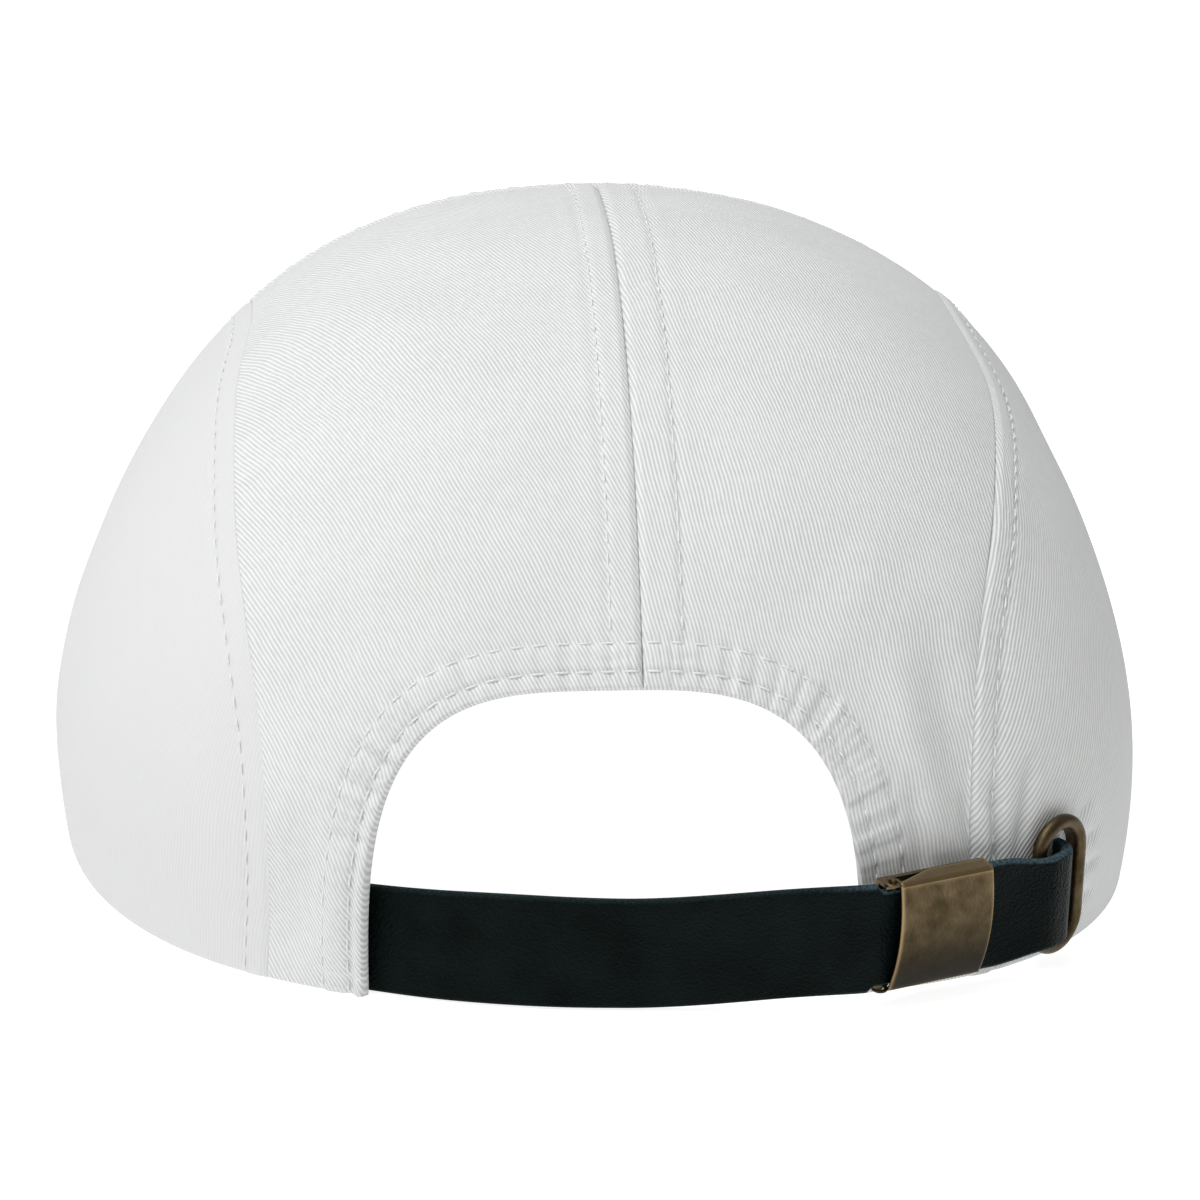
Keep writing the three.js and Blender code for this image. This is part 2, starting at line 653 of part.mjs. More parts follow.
// The slot through the cloth for the eyelet's barrel
function slotCutter() {
  const reach = SLOT_HALF + EYELET_BARREL + GAP;
  const outline = [];
  for (let i = 0; i < EYELET_STEPS; i += 1) {
    outline.push(oblong(i / EYELET_STEPS, 2 * reach, 2 * reach + EYELET_HEIGHT - EYELET_WIDTH));
  }
  const deep = EYELET_WIDTH;
  const geometry = new THREE.ExtrudeGeometry(new THREE.Shape(outline), {
    depth: 2 * deep, bevelEnabled: false,
  });
  return geometry.translate(0, 0, -deep).applyMatrix4(seatBasis);
}

// The peak: a crescent between the crown's front hem and its own outer edge, arched across
function peakGeometry() {
  const across = PEAK_ACROSS;
  const corner = PEAK_WIDTH / 2 - PEAK_TIP_WIDTH;
  let cornerRound = 90;
  while (cornerRound < 180 && crownPoint(cornerRound, 0).x > corner) {
    cornerRound += EPSILON_DEG;
  }
  const base = crownPoint(cornerRound, 0).y;
  const tip = HEM_TO_CENTRE + PEAK_REACH;
  const points = [];
  const faces = [];
  const sheet = (PEAK_STEPS + 1) * (across + 1);
  for (const side of [1, -1]) {
    for (let i = 0; i <= PEAK_STEPS; i += 1) {
      const share = i / PEAK_STEPS;
      const round = lerp(cornerRound, 360 - cornerRound, share);
      const foot = crownPoint(round, 0);
      const up = upAtHeight(round, peakLift(foot.x) + PEAK_THICKNESS);
      const hem = crownPoint(round, up);
      const out = crownNormal(round, up).setZ(0).normalize();
      const start = new THREE.Vector2(hem.x + out.x * GAP, hem.y + out.y * GAP);
      const a = Math.PI * share;
      const c = Math.cos(a);
      const stop = new THREE.Vector2(
        (PEAK_WIDTH / 2) * Math.sign(c) * Math.abs(c) ** (2 / PEAK_SQUARE),
        base + (tip - base) * Math.sin(a) ** (2 / PEAK_SQUARE),
      );
      for (let j = 0; j <= across; j += 1) {
        const x = lerp(start.x, stop.x, j / across);
        const y = lerp(start.y, stop.y, j / across);
        points.push(new THREE.Vector3(x, y, peakLift(x) + (side > 0 ? PEAK_THICKNESS : 0)));
      }
    }
  }
  const at = (i, j, layer) => layer * sheet + i * (across + 1) + j;
  for (let i = 0; i < PEAK_STEPS; i += 1) {
    for (let j = 0; j < across; j += 1) {
      faces.push([at(i, j, 0), at(i, j + 1, 0), at(i + 1, j + 1, 0), at(i + 1, j, 0)]);
      faces.push([at(i, j, 1), at(i + 1, j, 1), at(i + 1, j + 1, 1), at(i, j + 1, 1)]);
    }
    faces.push([at(i, 0, 0), at(i + 1, 0, 0), at(i + 1, 0, 1), at(i, 0, 1)]);
    faces.push([at(i, across, 0), at(i, across, 1), at(i + 1, across, 1), at(i + 1, across, 0)]);
  }
  for (let j = 0; j < across; j += 1) {
    const n = PEAK_STEPS;
    faces.push([at(0, j, 0), at(0, j, 1), at(0, j + 1, 1), at(0, j + 1, 0)]);
    faces.push([at(n, j, 0), at(n, j + 1, 0), at(n, j + 1, 1), at(n, j, 1)]);
  }
  return closedGeometry(points, faces);
}

// Materials
const whiteTwill = () => new THREE.MeshStandardMaterial({
  color: 0xe6e6e7, roughness: 0.9, metalness: 0,
});
const blackLeather = () => new THREE.MeshStandardMaterial({
  color: 0x101817, roughness: 0.55, metalness: 0,
});
const agedBrass = () => new THREE.MeshStandardMaterial({
  color: 0x7a6646, roughness: 0.4, metalness: 1,
});

const cap = new THREE.Group();

function addPiece(name, geometry, material, matrix) {
  const mesh = new THREE.Mesh(geometry, material);
  mesh.name = name;
  if (matrix) {
    mesh.applyMatrix4(matrix);
  }
  cap.add(mesh);
}

const shell = toSolid(crownShell());
const arch = toSolid(archCutter());
const slot = toSolid(slotCutter());
for (const [name, outline] of Object.entries(panelOutlines())) {
  const prism = toSolid(uprightPrism(outline, -CLOTH, CROWN_HEIGHT + CLOTH));
  let panel = shell.intersect(prism);
  if (name.startsWith('back_panel')) {
    panel = panel.subtract(arch);
  }
  if (name === 'side_panel_right') {
    panel = panel.subtract(slot);
  }
  addPiece(name, toGeometry(panel), whiteTwill());
}
addPiece('peak', peakGeometry(), whiteTwill());
addPiece('strap', strapGeometry(), blackLeather());
addPiece('clasp_frame', claspFrame(), agedBrass(), claspMatrix());
addPiece('clasp_lever', claspLever(), agedBrass(), claspMatrix());
addPiece('slot_eyelet', slotEyelet(), agedBrass());

// The origin is the middle of the cap's own box, on the surface that it rests on
const box = new THREE.Box3().setFromObject(cap, true);
const middle = box.getCenter(new THREE.Vector3());
cap.position.set(-middle.x, -middle.y, -box.min.z);
cap.updateMatrixWorld(true);

export default cap;
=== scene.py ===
# A five panel cap of white cotton twill, seen from behind: five sewn panels with an arch opening, a
# stiff peak, a black leather strap, a brass flip clasp and an oblong brass eyelet.
# Shapes are worked out in millimetres from the middle of the hem, +Z up and +Y towards the peak.
# The settings are kept in metres and radians, as Blender shows them, and values_of() turns them.
from types import SimpleNamespace

import bpy
import numpy as np
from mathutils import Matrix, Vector


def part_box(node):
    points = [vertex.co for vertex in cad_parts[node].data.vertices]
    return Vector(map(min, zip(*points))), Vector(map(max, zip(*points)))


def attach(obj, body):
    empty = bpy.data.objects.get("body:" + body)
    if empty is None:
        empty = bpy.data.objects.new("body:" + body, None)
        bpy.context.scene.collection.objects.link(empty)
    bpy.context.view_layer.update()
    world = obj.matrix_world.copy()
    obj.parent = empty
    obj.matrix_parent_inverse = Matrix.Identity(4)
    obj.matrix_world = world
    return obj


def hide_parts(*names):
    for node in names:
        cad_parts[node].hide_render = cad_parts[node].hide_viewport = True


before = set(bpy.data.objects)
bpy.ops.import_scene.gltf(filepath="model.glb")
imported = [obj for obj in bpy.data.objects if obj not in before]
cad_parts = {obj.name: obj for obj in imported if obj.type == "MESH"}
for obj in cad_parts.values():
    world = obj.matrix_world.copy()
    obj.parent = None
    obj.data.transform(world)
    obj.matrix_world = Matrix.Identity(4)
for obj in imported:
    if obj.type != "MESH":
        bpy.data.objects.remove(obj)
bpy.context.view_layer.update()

bl_info = {
    "name": "Five Panel Cap",
    "version": (1, 0, 0),
    "blender": (4, 5, 0),
    "location": "3D View > Sidebar > Cap",
    "description": "Twill crown and peak, leather strap, brass clasp and eyelet of a five panel cap",
    "category": "Object",
}

MM = 0.001

# How square the crown is, seen from the side and from above: 2 is an ellipse, more is squarer
SQUARE_SIDE_VIEW = 2.24
SQUARE_FRONT = 2.2
SQUARE_BACK_LEFT = 2.42
SQUARE_BACK_RIGHT = 3.06

# Soft hollows and fullness of the crown: degrees round from the back, degrees up from the hem,
# spread in degrees, depth as a share of the crown's width
SOFT_FORMS = np.array([
    (-97, 33, 11, -0.0063),
    (100, 50, 11, 0.0091),
    (-95, 3, 14, 0.0069),
    (93, 18, 11, -0.0034),
    (-115, 68, 12, 0.0029),
])

# The side seams seen from above: place from the back hem (-1) to the front hem (1), then the left
# and the right seam's distance from the middle as shares of half the crown's width
SIDE_SEAM = np.array([
    (-1, 0.575, 0.57),
    (-0.85, 0.59, 0.6),
    (-0.6, 0.632, 0.665),
    (-0.3, 0.634, 0.7),
    (0, 0.612, 0.674),
    (0.5, 0.632, 0.662),
    (1, 0.64, 0.64),
])
CENTRE_SEAM_X = 3.2
CROSS_SEAM_Y = 22
PANEL_GAP = 0.3

# The strap's free run: degrees round from the back, and how far its middle lies outside the cloth
STRAP_RUN = np.array([
    (-38, -4.2), (-30, -4.2), (-23, -4.2), (-15, -2.6), (-6, -0.3), (3, 1.4), (12, 3.4),
])
# How far back from the eyelet's middle the tail meets the cloth inside, in millimetres
TAIL_START = 13


def srgb(code):
    """A linear colour from an sRGB hex value."""
    parts = np.array([(code >> shift) & 255 for shift in (16, 8, 0)]) / 255
    linear = np.where(parts <= 0.04045, parts / 12.92, ((parts + 0.055) / 1.055) ** 2.4)
    return linear.tolist()


def unit(v):
    """Vectors made one long."""
    return v / np.maximum(np.linalg.norm(v, axis=-1, keepdims=True), 1e-12)


def ramp(x, low, high):
    """0 below low, 1 above high, and a smooth step between them."""
    t = np.clip((x - low) / (high - low), 0, 1)
    return t * t * (3 - 2 * t)


def bump(x, middle, spread):
    """A bell of height 1 at middle."""
    return np.exp(-(((x - middle) / spread) ** 2))


def run_of(line):
    """How far along a line of points each of them is."""
    steps = np.linalg.norm(np.diff(line, axis=0), axis=1)
    return np.concatenate([[0.0], np.cumsum(steps)])


def resample(line, shares):
    """Points at the given shares of a line's length."""
    run = run_of(line)
    return np.stack([np.interp(np.asarray(shares) * run[-1], run, line[:, k]) for k in range(3)], -1)


def even(line, step):
    """The line in equal steps of about the given length."""
    count = max(int(round(run_of(line)[-1] / step)), 2)
    return resample(line, np.linspace(0, 1, count + 1))


def kept(line, values):
    """The part of a line where values is above zero, cut exactly where it crosses."""
    inside = np.flatnonzero(values > 0)
    first, last = inside[0], inside[-1]
    part = [line[first:last + 1]]
    if first > 0:
        t = values[first] / (values[first] - values[first - 1])
        part.insert(0, (line[first] + t * (line[first - 1] - line[first]))[None])
    if last < len(line) - 1:
        t = values[last] / (values[last] - values[last + 1])
        part.append((line[last] + t * (line[last + 1] - line[last]))[None])
    return np.concatenate(part)


def eased(count, pull=0.75):
    """Shares from 0 to 1 that lie closer together at both ends: u - pull sin(2 pi u) / 2 pi."""
    u = np.linspace(0, 1, count)
    return u - pull * np.sin(2 * np.pi * u) / (2 * np.pi)


def table_value(rows, column, at):
    """A smooth curve through one column of a table, by its first column: cubic pieces whose slope
    at each row is that between its neighbours."""
    x, y = rows[:, 0], rows[:, column]
    before = np.maximum(np.arange(len(x)) - 1, 0)
    after = np.minimum(np.arange(len(x)) + 1, len(x) - 1)
    slope = (y[after] - y[before]) / (x[after] - x[before])
    i = np.clip(np.searchsorted(x, at), 1, len(x) - 1)
    span = x[i] - x[i - 1]
    t = np.clip((at - x[i - 1]) / span, 0, 1)
    h = t * t * (3 - 2 * t)
    bend = t * (1 - t) ** 2 * span * slope[i - 1] - t * t * (1 - t) * span * slope[i]
    return y[i - 1] + (y[i] - y[i - 1]) * h + bend


def nearest(points, line):
    """Distance of each point from a line of short steps, and how far along it the nearest place is.
    The nearest step is found first, then the point is dropped onto the line's direction there."""
    flat = points.reshape(-1, 3)
    square = (flat ** 2).sum(1)[:, None] + (line ** 2).sum(1) - 2 * flat @ line.T
    k = square.argmin(1)
    direction = unit(np.gradient(line, axis=0))[k]
    offset = flat - line[k]
    ahead = np.clip((offset * direction).sum(1), -1, 1)
    distance = np.linalg.norm(offset - direction * ahead[:, None], axis=1)
    shape = points.shape[:-1]
    return distance.reshape(shape), (run_of(line)[k] + ahead).reshape(shape)


def ripple(x, seed, count=5):
    """An uneven wave of x: sines of unlike length and phase added, about -1 to 1."""
    rng = np.random.default_rng(seed)
    total = np.zeros_like(x)
    for k in range(count):
        total += np.sin(x * (0.6 + 0.9 * rng.random()) * (1 + 0.35 * k) + rng.random() * 2 * np.pi)
    return total / np.sqrt(count)


class Crown:
    """The crown's outer face, lengths in millimetres from the middle of the hem."""

    def __init__(self, s):
        self.half = np.array([s.width, s.length, 2 * s.height]) / 2
        self.tuck = s.hem_tuck
        self.belly = s.belly_height
        self.lean = s.top_lean
        self.wall = s.cloth
        self.forms = [
            (self.heading(around, up), np.radians(spread) ** 2, depth * s.width)
            for around, up, spread, depth in SOFT_FORMS
        ]
        self.arch = s.arch_width, s.arch_height, s.arch_x, s.arch_square
        self.peak_lift = s.peak_lift
        self.peak_width = s.peak_width

    @staticmethod
    def heading(around, up):
        """Unit vectors from degrees round from the back and degrees up from the hem."""
        a, u = np.radians(around), np.radians(up)
        level = np.cos(u)
        return np.stack(np.broadcast_arrays(np.sin(a) * level, -np.cos(a) * level, np.sin(u)), -1)

    def point(self, d):
        """The outer face along directions d. Its reach is that of a rounded dome with a squarish
        plan, plus the soft forms. Then the hem is drawn in and the top leans over."""
        d = unit(d)
        x, y, z = d[..., 0], d[..., 1], d[..., 2]
        back = np.where(x < 0, SQUARE_BACK_LEFT, SQUARE_BACK_RIGHT)
        n = np.where(y > 0, SQUARE_FRONT, back)
        m = SQUARE_SIDE_VIEW
        plan = np.abs(x / self.half[0]) ** n + np.abs(y / self.half[1]) ** n
        reach = (plan ** (m / n) + np.abs(z / self.half[2]) ** m) ** (-1 / m)
        for centre, spread, depth in self.forms:
            reach = reach + depth * np.exp(-(1 - d @ centre) / spread)
        p = d * reach[..., None]
        g = self.draw_in(p[..., 2])
        shift = self.lean * (p[..., 2] / self.half[2]) ** 2
        return np.stack([p[..., 0] * g + shift, p[..., 1] * g, p[..., 2]], -1)

    def draw_in(self, z):
        """What is left of the plan at a height, where the hem is drawn in below the belly."""
        return 1 - self.tuck * np.clip(1 - z / self.belly, 0, 1) ** 2

    def aim(self, p):
        """The direction that point() takes to come out nearest to p."""
        g = self.draw_in(p[..., 2])
        x = (p[..., 0] - self.lean * (p[..., 2] / self.half[2]) ** 2) / g
        return unit(np.stack([x, p[..., 1] / g, p[..., 2]], -1))

    def drop(self, p):
        """Points moved onto the outer face."""
        return self.point(self.aim(p))

    def normal(self, p):
        """Outward normals at points of the outer face, from four neighbours of each."""
        d = self.aim(p)
        upright = np.abs(d[..., 2:]) > 0.9
        other = np.where(upright, np.array([1.0, 0, 0]), np.array([0, 0, 1.0]))
        across = unit(np.cross(other, d))
        rise = np.cross(d, across)
        e = 0.002
        a = self.point(d + e * across) - self.point(d - e * across)
        b = self.point(d + e * rise) - self.point(d - e * rise)
        return unit(np.cross(a, b))

    def lift(self, x):
        """Height of the front hem over the arched peak."""
        return self.peak_lift * np.clip(1 - (2 * x / self.peak_width) ** 2, 0, 1)

    def halve(self, direction, rises, low, high):
        """The places along a set of directions where rises() changes sign, by halving the span."""
        for _ in range(40):
            middle = (low + high) / 2
            above = rises(self.point(direction(middle))) > 0
            high = np.where(above, middle, high)
            low = np.where(above, low, middle)
        return self.point(direction((low + high) / 2))

    def lengthwise(self, rises, side, count=420):
        """A line from the back hem over the top to the front: for each turn about the X axis, the
        sideways angle at which rises() changes sign."""
        turn = np.linspace(0, np.pi, count)

        def direction(tilt):
            """The direction at each turn, tilted sideways."""
            level = np.cos(tilt)
            return np.stack([
                side * np.sin(tilt), -np.cos(turn) * level, np.sin(turn) * level], -1)

        reach = np.full(count, np.pi / 2)
        return self.halve(direction, rises, -0.2 * reach, reach)

    def side_seam(self, side):
        """A side seam from the back hem to the front hem."""
        column = 1 if side < 0 else 2
        wide, long = self.half[:2]

        def rises(p):
            """How far a point lies outside the seam's place seen from above."""
            return side * p[..., 0] - wide * table_value(SIDE_SEAM, column, p[..., 1] / long)

        line = self.lengthwise(rises, side)
        height = np.where(line[:, 1] > 0, line[:, 2] - self.lift(line[:, 0]), line[:, 2] + 1e-6)
        return kept(line, height + 1e-9)

    def centre_seam(self):
        """The centre seam's line from the back hem to the front."""
        return self.lengthwise(lambda p: p[..., 0] - CENTRE_SEAM_X, 1)

    def cross_seam(self, left, right):
        """The seam across the top, from the left side seam to the right one."""
        ends = [kept(line, line[:, 1] - CROSS_SEAM_Y)[0] for line in (left, right)]
        x = np.linspace(ends[0][0], ends[1][0], 160)
        line = np.stack([x, np.full_like(x, CROSS_SEAM_Y), np.full_like(x, self.half[2])], -1)
        for _ in range(25):
            line[:, 2] = self.drop(line)[:, 2]
        line[0], line[-1] = ends
        return line

    def arch_line(self, count=240):
        """The arch opening's edge from its left foot over the top to its right foot: a squarish
        arch in the view from behind, moved back onto the crown."""
        width, height, middle, square = self.arch
        a = np.pi * (1 - eased(count, -0.35))
        c = np.cos(a)
        x = middle + width / 2 * np.sign(c) * np.abs(c) ** (2 / square)
        z = height * np.abs(np.sin(a)) ** (2 / square)
        line = np.stack([x, np.full_like(x, -self.half[1]), z], -1)
        for _ in range(25):
            line[:, 1] = self.drop(line)[:, 1]
        return line

    def at_height(self, around, height_of, rounds=8):
        """Points of the outer face at degrees round from the back, as high as height_of() says: the
        aim is raised again and again to that height over the last point found."""
        p = self.point(self.heading(around, 0.0))
        for _ in range(rounds):
            up = np.degrees(np.arctan2(height_of(p), np.hypot(p[..., 0], p[..., 1])))
            p = self.point(self.heading(around, up))
        return p

    def hem_line(self, start, end, count=200):
        """The hem between two degrees round from the back."""
        around = np.linspace(start, end, count)
        flat = self.point(self.heading(around, 0.0))
        height = np.where(flat[:, 1] > 0, self.lift(flat[:, 0]), 0)
        return self.at_height(around, lambda p: height)

    def around(self, p):
        """Degrees round from the back of a point."""
        q = self.aim(p)
        return np.degrees(np.arctan2(q[..., 0], -q[..., 1]))


def patch(low, high, start, end, s, t):
    """A grid between four edge lines, after Coons: the blend of each facing pair, less the blend of
    the four corners. low and high run with s, start and end with t."""
    across, up = s[None, :, None], t[:, None, None]
    edges = (1 - up) * low + up * high + (1 - across) * start[:, None] + across * end[:, None]
    corners = (1 - across) * ((1 - up) * low[0] + up * high[0])
    corners = corners + across * ((1 - up) * low[-1] + up * high[-1])
    return edges - corners


def grid_faces(rows, columns, closed=False, looped=False):
    """The quads of a grid. A closed grid's columns run round to the first one, and a looped grid's
    rows do too."""
    r = np.arange(rows if looped else rows - 1)[:, None]
    c = np.arange(columns if closed else columns - 1)[None]
    after = (c + 1) % columns
    low, high = r * columns, (r + 1) % rows * columns
    return np.stack([low + c, low + after, high + after, high + c], -1).reshape(-1, 4)


def sheet_of(outer, inner):
    """A closed sheet from its outer and inner grid: both grids, the inner one turned, and a strip
    round the rim."""
    rows, columns = outer.shape[:2]
    faces = grid_faces(rows, columns)
    index = np.arange(rows * columns).reshape(rows, columns)
    ring = np.concatenate([index[0, :-1], index[:-1, -1], index[-1, :0:-1], index[:0:-1, 0]])
    after = np.roll(ring, -1)
    inside = rows * columns
    rim = np.stack([after, ring, ring + inside, after + inside], -1)
    faces = np.concatenate([faces, faces[:, ::-1] + inside, rim])
    across = outer[:-1, 1:] - outer[:-1, :-1]
    up = outer[1:, :-1] - outer[:-1, :-1]
    if (np.cross(across, up) * (outer - inner)[:-1, :-1]).sum() < 0:
        faces = faces[:, ::-1]
    return np.concatenate([outer.reshape(-1, 3), inner.reshape(-1, 3)]), faces


def crown_origin():
    """Where the middle of the hem lies in the frame, from the seams' places there."""
    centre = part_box("back_panel_left")[1].x / MM + PANEL_GAP / 2 - CENTRE_SEAM_X
    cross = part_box("front_panel")[0].y / MM - PANEL_GAP / 2 - CROSS_SEAM_Y
    return np.array([centre, cross, 0.0])


def add_piece(name, points, faces, material, uv=None, marks=None, body="cap", replaces=()):
    """A new piece from its points in millimetres and its faces, with a weave map and marks where
    it has them, riding on a body of the frame."""
    mesh = bpy.data.meshes.new(name)
    metres = (points + crown_origin()) * MM
    faces = faces.tolist() if isinstance(faces, np.ndarray) else faces
    mesh.from_pydata(metres.tolist(), [], faces)
    corner = np.zeros(len(mesh.loops), np.int32)
    mesh.loops.foreach_get("vertex_index", corner)
    if uv is not None:
        layer = mesh.uv_layers.new(name="weave")
        layer.data.foreach_set("uv", uv[corner].astype(np.float32).ravel())
    for mark, values in (marks or {}).items():
        layer = mesh.attributes.new(mark, "FLOAT", "POINT")
        layer.data.foreach_set("value", values.astype(np.float32).ravel())
    mesh.polygons.foreach_set("use_smooth", np.ones(len(mesh.polygons), bool))
    mesh.materials.append(material)
    mesh.update()
    piece = bpy.data.objects.new(name, mesh)
    bpy.context.scene.collection.objects.link(piece)
    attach(piece, body)
    if replaces:
        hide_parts(*replaces)
    return piece


def add_node(tree, kind, settings=None, inputs=None, links=None, stops=()):
    """One shader node with its settings, its sockets' values, its incoming links and, on a colour
    ramp, the places and colours of its two stops."""
    node = tree.nodes.new(kind)
    for name, value in (settings or {}).items():
        setattr(node, name, value)
    for name, value in (inputs or {}).items():
        node.inputs[name].default_value = value
    for name, source in (links or {}).items():
        tree.links.new(source, node.inputs[name])
    for k, (place, tone) in enumerate(stops):
        node.color_ramp.elements[k].position = place
        node.color_ramp.elements[k].color = tone
    return node


def new_material(name, inputs):
    """A material with its Principled shader and the shader's values."""
    material = bpy.data.materials.new(name)
    material.use_nodes = True
    tree = material.node_tree
    tree.nodes.clear()
    shader = add_node(tree, "ShaderNodeBsdfPrincipled", {}, inputs)
    add_node(tree, "ShaderNodeOutputMaterial", links={"Surface": shader.outputs["BSDF"]})
    return material, tree, shader


def finish_shader(tree, shader, sources, height, strength, distance):
    """Links the shader's sockets to their sources, and its normal to a relief of the given height,
    strength and distance in millimetres."""
    relief = add_node(tree, "ShaderNodeBump", {}, {
        "Strength": strength, "Distance": distance * MM}, {"Height": height})
    for name, source in {**sources, "Normal": relief.outputs["Normal"]}.items():
        tree.links.new(source, shader.inputs[name])


def twill_material(s, name, tint, calm=1.0):
    """Bleached cotton twill, woven: fine slanted ribs, a matt face with a little sheen, and threads
    that differ slightly from one to the next. A low calm value presses the ribs flatter."""
    material, tree, shader = new_material(name, {
        "Roughness": 0.88, "Specular IOR Level": 0.3, "Sheen Weight": 0.05, "Sheen Roughness": 0.5,
        "Sheen Tint": s.cloth_colour})
    place = add_node(tree, "ShaderNodeUVMap", {"uv_map": "weave"}).outputs["UV"]
    # The wave's own period is 2 pi / 20 of a unit at scale 1, and the map is in millimetres. The ribs
    # are drawn about as coarse as they look, because finer ones don't show.
    ribs = add_node(tree, "ShaderNodeTexWave", {"bands_direction": "X", "wave_profile": "SIN"}, {
        "Scale": 2 * np.pi / (20 * s.rib_pitch), "Distortion": 1.1, "Detail": 2.0,
        "Detail Scale": 0.35, "Detail Roughness": 0.6,
    }, {"Vector": place})
    stretch = add_node(tree, "ShaderNodeMapping", {}, {"Scale": (1.0, 0.22, 1.0)}, {"Vector": place})
    threads = add_node(tree, "ShaderNodeTexNoise", {}, {
        "Scale": 1 / s.rib_pitch, "Detail": 3.0, "Roughness": 0.6,
    }, {"Vector": stretch.outputs["Vector"]})
    # Clouds about 17 mm wide
    soft = add_node(tree, "ShaderNodeTexNoise", {}, {"Scale": 0.06, "Detail": 2.0}, {"Vector": place})
    woven = add_node(tree, "ShaderNodeMix", {"data_type": "FLOAT"}, {"Factor": 0.42}, {
        "A": ribs.outputs["Fac"], "B": threads.outputs["Fac"]}).outputs["Result"]
    uneven = add_node(tree, "ShaderNodeMix", {"data_type": "FLOAT"}, {"Factor": 0.16}, {
        "A": woven, "B": soft.outputs["Fac"]}).outputs["Result"]
    # The ribs' valleys get the shade colour, which is painted shade between the ribs, mixed with the
    # threads' own uneven tone and soft clouds
    light, shade = np.array(tint), np.array(s.shade_colour)
    colours = add_node(tree, "ShaderNodeValToRGB", links={"Fac": uneven}, stops=[
        (0.25, light + (shade - light) * calm), (0.7, tint)])
    finish_shader(
        tree, shader, {"Base Color": colours.outputs["Color"]}, woven, 0.8, s.rib_height * calm)
    return material


def thread_material(s):
    """Spun polyester sewing thread: a fine twist and a slight gloss."""
    material, tree, shader = new_material("spun_polyester_thread", {"Roughness": 0.6})
    place = add_node(tree, "ShaderNodeTexCoord").outputs["Object"]
    # The twist's turns are 0.4 mm long
    twist = add_node(tree, "ShaderNodeTexNoise", {}, {"Scale": 1 / (0.4 * MM), "Detail": 2.0}, {
        "Vector": place})
    # The twist's grooves get the shade colour, which is painted shade
    colours = add_node(tree, "ShaderNodeValToRGB", links={"Fac": twist.outputs["Fac"]}, stops=[
        (0.0, s.shade_colour), (1.0, s.thread_colour)])
    finish_shader(
        tree, shader, {"Base Color": colours.outputs["Color"]}, twist.outputs["Fac"], 0.4, 0.05)
    return material


def leather_material(s):
    """Black corrected-grain leather, pressed and finished: fine pebbles with a soft gloss on the
    face, and a raw blue-grey cut edge."""
    material, tree, shader = new_material("pressed_black_leather", {"Specular IOR Level": 0.04})
    place = add_node(tree, "ShaderNodeUVMap", {"uv_map": "weave"}).outputs["UV"]
    pebbles = add_node(tree, "ShaderNodeTexVoronoi", {"feature": "SMOOTH_F1"}, {
        "Scale": 1 / s.pebble, "Smoothness": 0.4, "Randomness": 0.9}, {"Vector": place})
    fibres = add_node(tree, "ShaderNodeTexNoise", {}, {
        "Scale": 0.8 / s.pebble, "Detail": 4.0, "Roughness": 0.65}, {"Vector": place})
    # Worn places about 8 mm wide
    folds = add_node(tree, "ShaderNodeTexNoise", {}, {"Scale": 0.12, "Detail": 3.0}, {"Vector": place})
    edge = add_node(tree, "ShaderNodeAttribute", {"attribute_name": "raw_edge"}).outputs["Fac"]
    face = add_node(tree, "ShaderNodeValToRGB", links={"Fac": folds.outputs["Fac"]}, stops=[
        (0.3, s.face_colour), (0.75, s.face_light_colour)])
    nap = add_node(tree, "ShaderNodeValToRGB", links={"Fac": fibres.outputs["Fac"]}, stops=[
        (0.3, s.face_light_colour), (0.62, s.edge_colour)])
    tone = add_node(tree, "ShaderNodeMix", {"data_type": "RGBA"}, {}, {
        "Factor": edge, "A": face.outputs["Color"], "B": nap.outputs["Color"]})
    rough = add_node(tree, "ShaderNodeMapRange", {}, {"To Min": 0.4, "To Max": 0.95}, {"Value": edge})
    height = add_node(tree, "ShaderNodeMix", {"data_type": "FLOAT"}, {"Factor": 0.35}, {
        "A": pebbles.outputs["Distance"], "B": fibres.outputs["Fac"]}).outputs["Result"]
    finish_shader(tree, shader, {
        "Base Color": tone.outputs["Result"], "Roughness": rough.outputs["Result"],
    }, height, 0.85, 0.32)
    return material


